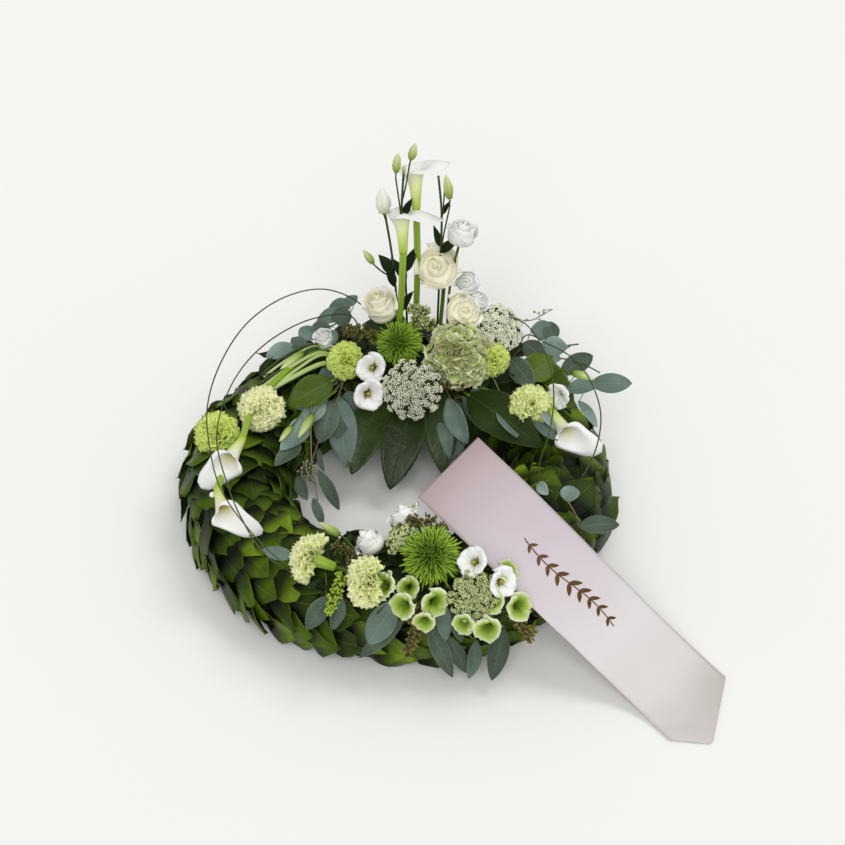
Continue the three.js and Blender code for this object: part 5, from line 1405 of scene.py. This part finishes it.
def fillers():
    undergrowth("undergrowth_back", 28, 138, 170, 101)
    undergrowth("undergrowth_front", 250, 292, 90, 102, 40, -2, 9)
    for cluster in MORE_CLUSTERS:
        bell_cluster(*cluster, extra=True)
    seed_ball("hanging_seeds", ["seed_pale", "twig"],
              [[-86, 40, 98], [-94, 20, 84], [-102, 4, 66]], [([-103, 4, 65], 12)], 103, 1.3, 80)
    seed_ball("lime_panicle", ["solidago", "stem"],
              [[-50, -200, 104], [-56, -222, 122], [-62, -238, 112], [-68, -252, 100]],
              [([-57, -222, 122], 8), ([-60, -230, 117], 8), ([-63, -237, 112], 8), ([-65, -244, 107], 7),
               ([-68, -250, 102], 5)], 104, 1.25, 46)
    seed_ball("seeds_by_carnation", ["seed", "twig"],
              [[-50, -170, 80], [-56, -176, 104], [-62, -172, 118]],
              [([-62, -172, 118], 9), ([-50, -178, 116], 9), ([-44, -190, 112], 8)], 105, 1.3, 40)
    seed_ball("seeds_by_hydrangea", ["seed", "twig"],
              [[50, 110, 90], [54, 92, 118], [56, 88, 128]],
              [([48, 92, 124], 8), ([60, 90, 124], 8), ([72, 90, 122], 7)], 106, 1.3, 36)
    seed_ball("seeds_at_left_rose", ["seed", "stem"],
              [[-40, 176, 80], [-44, 170, 130], [-42, 160, 146]],
              [([-44, 158, 148], 11), ([-28, 146, 150], 9), ([-58, 168, 142], 9)], 107, 1.5, 50)
    seed_ball("seeds_by_chrysanthemum", ["seed", "twig"],
              [[20, -150, 80], [24, -158, 120], [22, -150, 134]],
              [([20, -150, 134], 10), ([36, -150, 136], 10), ([4, -158, 130], 9), ([50, -164, 138], 9)],
              108, 1.3, 60)
    seed_ball("green_panicle_back", ["umbel_green", "twig"],
              [[24, 180, 80], [28, 176, 150], [30, 172, 164]],
              [([30, 172, 164], 11), ([26, 168, 154], 12), ([36, 170, 152], 11), ([20, 176, 168], 8)],
              109, 1.35, 90)
    loose_buds("loose_buds", [
        ([-97, 44, 116], [-113, 14, 108], 5.5, [[-86, 66, 118], [-70, 98, 108]]),
        ([-121, 32, 110], [-135, 12, 104], 4.2, [[-108, 56, 114], [-80, 96, 108]]),
        ([-60, -152, 117], [-83, -134, 119], 5.0, [[-46, -166, 114], [-30, -172, 96]]),
        ([-112, 138, 132], [-138, 112, 128], 5.5, [[-90, 154, 128], [-66, 162, 100]]),
        ([206, 104, 130], [232, 96, 126], 5.0, [[188, 112, 128], [168, 122, 104]]),
    ], 110)
    loose_stems("stem_bundle", [
        ([[-58, 138, 104], [-84, 126, 126], [-124, 100, 125], [-162, 76, 116]], 3.1),
        ([[-60, 150, 104], [-90, 140, 130], [-126, 116, 128], [-160, 92, 116]], 2.3),
        ([[-62, 160, 104], [-96, 152, 130], [-130, 130, 128], [-158, 110, 118]], 1.7),
        ([[-60, 146, 104], [-88, 134, 132], [-116, 112, 130], [-150, 84, 118]], 1.9),
    ], "pale_stem")
    loose_stems("dark_stem_bundle", [
        ([[-58, 154, 104], [-92, 144, 127], [-128, 122, 126], [-164, 98, 116]], 1.7),
        ([[-56, 142, 104], [-86, 130, 124], [-124, 108, 123], [-160, 84, 114]], 1.5),
        ([[-62, 166, 104], [-98, 158, 128], [-134, 138, 126], [-160, 118, 116]], 1.4),
    ], "dark_stem")
    loose_stems("thin_twigs", [
        ([[150, 150, 100], [170, 152, 130], [196, 147, 135], [216, 149, 136]], 0.9),
        ([[160, 140, 100], [190, 132, 128], [221, 118, 130], [239, 106, 128]], 0.8),
        ([[150, 140, 100], [190, 140, 128], [206, 148, 134]], 0.8),
        ([[-120, 120, 100], [-134, 117, 120], [-160, 108, 122]], 0.9),
        ([[-190, 40, 100], [-200, 56, 122], [-204, 62, 124]], 0.7),
    ], "dark_stem")
    berry_twig("berry_twig", [[124, 170, 120], [132, 181, 150], [158, 175, 151], [185, 184, 161]], 12, 111)


# ---- ribbon -----------------------------------------------------------------------------------
RIBBON_ROUTE = [
    [59, -44, 117], [86, -88, 122], [113, -127, 123], [139, -158, 117],
    [166, -183, 105], [192, -201, 87], [220, -216, 65], [247, -231, 42],
    [274, -246, 20], [295, -263, 8], [310, -280, 3.8], [325, -299, 3],
]
RIBBON_WIDTH = 110
RIBBON_POINT = 39
POINT_OFFSET = 0.4
RIBBON_HEADING = np.array([0.78, -0.62, 0.0])
RIBBON_BANK = 6         # its back edge starts this much higher than its middle
RIBBON_SWAY = 1.6       # shallow waves along it
RIBBON_CROWN = 1.5      # its middle stands this much above its edges
POINT_START = 0.8       # share of its length at which it starts to be cut to a point
SPRIG_MIDDLE = 0.515    # share of its length at which the sprig's middle lies
SPRIG_REACH = 150.0
SPRIG_LIFT = 0.55
SPRIG_PAIRS = 9


def satin_look():
    look = Look("white_satin", 0.36, Sheen_Weight=0.05, Sheen_Roughness=0.4)
    # painted reflection: soft lighter bands across the satin where it mirrors the light
    sweep = look.noise(5.5, 1.5, (1.0, 0.5, 0.4))
    # painted shade and reflection along the ribbon: pinkish grey shade at its start, where it curls over into
    # the hole, then lighter and darker bands of reflected light
    reflection_tone = look.ramp(look.along, (0.0, "#b0999d"), (0.1, "#c2aeb2"), (0.26, "#c4b8be"), (0.4, "#b5adb8"),
                     (0.55, "#c6bfc2"), (0.7, "#d8d4d2"), (0.86, "#ccc6c2"), (1.0, "#c0b9b3"))
    colour = look.mix(look.times(look.band(sweep, 0.38, 0.68), 0.5), reflection_tone, "#ded8da")
    # painted reflection: faint pinkish patches of light in the satin
    pink_reflection = look.noise(7.5, 1.0, (0.5, 1.0, 0.4))
    colour = look.mix(look.times(look.band(pink_reflection, 0.5, 0.75), 0.3), colour, "#cfb3ba")
    side = look.off_middle()
    hem = look.band(side, 0.965, 0.985)
    colour = look.mix(look.times(hem, 0.3), colour, "#e6d6d8")
    line = look.times(look.band(side, 0.955, 0.965), look.band(side, 0.975, 0.965))
    colour = look.mix(look.times(line, 0.35), colour, "#a89c9c")
    ribs = look.math("SINE", look.times(look.along, 3600))
    weave = look.plus(look.times(ribs, 0.3), look.noise(1600, 2))
    height = look.plus(weave, look.times(hem, 1.2))
    return look.finish(colour, height, 0.0002, 0.16)


def foil_look():
    look = Look("bronze_foil", 0.46, Metallic=0.5)
    colour = look.mix(look.noise(500, 2), "#4a321a", "#765432")
    return look.finish(colour, look.noise(1800, 2), 0.0002, 0.2)


def ribbon_surface(along, across):
    """Points of the ribbon's middle surface for shares of its length and of its half width"""
    count = 400
    path = curve(RIBBON_ROUTE, count)
    way = tangents(path)
    spots = np.clip(along * (count - 1), 0, count - 1)
    middle = np.stack([np.interp(spots, np.arange(count), path[:, k]) for k in range(3)], -1)
    forward = unit(np.stack([np.interp(spots, np.arange(count), way[:, k]) for k in range(3)], -1))
    sideways = unit(np.cross(RIBBON_HEADING, UP))
    normal = unit(np.cross(sideways, forward))
    reach = np.maximum(0, (along - POINT_START) / (1 - POINT_START))
    slant = np.minimum((1 + across) / (1 + POINT_OFFSET), (1 - across) / (1 - POINT_OFFSET))
    sway = RIBBON_SWAY * np.sin(7.5 * along + 0.6 * across) * np.sin(math.pi * along) ** 0.7
    crown = RIBBON_CROWN * (1 - across ** 2) * np.sin(math.pi * np.clip(along * 1.02, 0, 1)) ** 0.5
    return (middle + sideways * (across * RIBBON_WIDTH / 2)[..., None] + normal * (sway + crown)[..., None]
            + forward * (RIBBON_POINT * reach * slant)[..., None]
            - UP * (RIBBON_BANK * (1 - smooth(along, 0.0, 0.5)) * across)[..., None])


def foil_sprig(length):
    """A plain sprig printed along the middle of the ribbon: a stem with leaves in pairs"""
    piece = Piece()
    share = np.linspace(0, 1, 61)
    centre = SPRIG_MIDDLE * length + SPRIG_REACH * (share - 0.5)
    stem_line = np.stack([centre, 4.0 * np.sin(2 * math.pi * share)], -1)

    def printed(spots):
        along, across = spots[..., 0] / length, 2 * spots[..., 1] / RIBBON_WIDTH
        return ribbon_surface(along, across) + UP * SPRIG_LIFT

    side = np.array([[0.0, 1.0]])
    stem_band = stem_line[:, None] + np.linspace(-0.7, 0.7, 3)[None, :, None] * side
    piece.shell(printed(stem_band), 0.3)
    u, v = np.linspace(0, 1, 9)[:, None], np.linspace(-1, 1, 5)[None, :]
    for k in range(SPRIG_PAIRS):
        place = k / (SPRIG_PAIRS - 1)
        start = stem_line[int(60 * (0.08 + 0.84 * place))]
        size = 1.0 - 0.35 * abs(2 * place - 1)
        for sign in (-1, 1):
            turn = sign * math.radians(48)
            way = np.array([math.cos(turn), math.sin(turn)])
            normal = np.array([-way[1], way[0]])
            half = 2.9 * size * np.sin(math.pi * u ** 0.8) ** 0.8 + 0.15
            spots = start + (u * 17 * size + 0 * v)[..., None] * way + (half * v)[..., None] * normal
            piece.shell(printed(spots), 0.3)
    return piece.make("ribbon_sprig", [foil_look()])


def satin_ribbon():
    """The draped sheet and what is printed on it; its length is measured along its point"""
    piece = Piece()
    along = np.linspace(0, 1, 181)[:, None] + np.zeros((1, 25))
    across = np.linspace(-1, 1, 25)[None, :] + np.zeros((181, 1))
    grid = ribbon_surface(along, across)
    piece.shell(grid, 0.4, 0.5, 0.5, 0)
    made = piece.make("satin_ribbon", [satin_look()], "satin_ribbon")
    middle = ribbon_surface(np.linspace(0, 1, 400), np.full(400, POINT_OFFSET))
    length = np.linalg.norm(np.diff(middle, axis=0), axis=1).sum()
    foil_sprig(length)


# ---- everything in its place --------------------------------------------------------------------
for coat, (start, sweep, seed) in {
    "leaf_coat_right": (-90, 120, 61), "leaf_coat_back": (30, 120, 62), "leaf_coat_left": (150, 120, 63),
}.items():
    leaf_coat(coat, start, sweep, seed)
for name, head, looks, slot, options in FLOWERS:
    flower(name, head, looks, slot, **options)
for cluster in CLUSTERS:
    bell_cluster(*cluster)
for options in CALLAS:
    calla(**options)
for i, (name, (trunk, forks)) in enumerate(BUD_SPRAYS.items()):
    bud_spray(name, trunk, forks, 71 + i)
for options in EUCALYPTUS:
    eucalyptus(**options)
glossy_leaf("glossy_leaf_hole", [22, 104, 98], [-9, 8, 30], 52, 81)
glossy_leaf("glossy_leaf_hole_left", [-16, 112, 98], [-54, 22, 42], 46, 82)
glossy_leaf("glossy_leaf_right", [150, 128, 112], [206, 66, 112], 56, 83, "broad")
glossy_leaf("glossy_leaf_dark", [50, 112, 96], [54, 30, 34], 40, 84, extra=True)
glossy_leaf("glossy_leaf_broad", [84, 92, 106], [166, 0, 110], 54, 85, extra=True)
glossy_leaf("glossy_leaf_broad_left", [-76, 104, 118], [-128, 66, 112], 38, 86, "broad", extra=True)
glossy_leaf("glossy_leaf_bright", [148, 98, 128], [188, 130, 130], 38, 87, "broad", extra=True)
for i, (name, route) in enumerate(SEEDS.items()):
    seed_cluster(name, route, 91 + i)
for name, route in GRASS_LOOPS.items():
    grass_loop(name, route)
pearl_pin("pearl_pin_left", [-203, -90, 118])
pearl_pin("pearl_pin_front", [-76, -186, 108])
fillers()
satin_ribbon()

for node, look in (("base_tray", plastic_look()), ("foam_ring", foam_look())):
    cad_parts[node].data.materials.clear()
    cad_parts[node].data.materials.append(look)


# ---- floor, light and camera --------------------------------------------------------------------
FLOOR_HALF = 6.0


def floor():
    look = Look("pale_floor", 0.85)
    look.shader.inputs["Specular IOR Level"].default_value = 0.15
    material = look.finish(look.mix(look.noise(2, 1), "#f4f4f2", "#f2f2ef"))
    mesh = bpy.data.meshes.new("floor")
    corners = [(x * FLOOR_HALF, y * FLOOR_HALF, 0) for x, y in ((-1, -1), (1, -1), (1, 1), (-1, 1))]
    mesh.from_pydata(corners, [], [(0, 1, 2, 3)])
    mesh.materials.append(material)
    made = bpy.data.objects.new("floor", mesh)
    bpy.context.scene.collection.objects.link(made)


def sun_light(name, elevation, azimuth, softness, strength):
    """Even light over the whole floor; softness is its disc's size in degrees"""
    light = bpy.data.lights.new(name, "SUN")
    light.angle = math.radians(softness)
    light.energy = strength
    made = bpy.data.objects.new(name, light)
    made.rotation_euler = (0, math.radians(90 - elevation), math.radians(azimuth))
    bpy.context.scene.collection.objects.link(made)
    return made


floor()
scene = bpy.context.scene
world = bpy.data.worlds.new("studio")
world.use_nodes = True
world.node_tree.nodes["Background"].inputs["Color"].default_value = (1.0, 1.0, 0.99, 1)
world.node_tree.nodes["Background"].inputs["Strength"].default_value = 0.48
scene.world = world
scene.view_settings.view_transform = "Standard"

sun_light("key", 62, 25, 28, 0.8)
sun_light("fill", 44, 268, 40, 1.45)

CAMERA_ELEVATION = math.radians(42)
CAMERA_DISTANCE = 2.4
TARGET = ORIGIN + np.array([0.030, 0.084, 0.069])
camera_data = bpy.data.cameras.new("camera")
camera_data.lens = 86
camera_data.sensor_width = 36
camera_data.clip_start = 0.05
camera = bpy.data.objects.new("camera", camera_data)
back = np.array([0.0, -math.cos(CAMERA_ELEVATION), math.sin(CAMERA_ELEVATION)])
camera.location = TARGET + CAMERA_DISTANCE * back
camera.rotation_euler = (math.pi / 2 - CAMERA_ELEVATION, 0, 0)
scene.collection.objects.link(camera)
scene.camera = camera
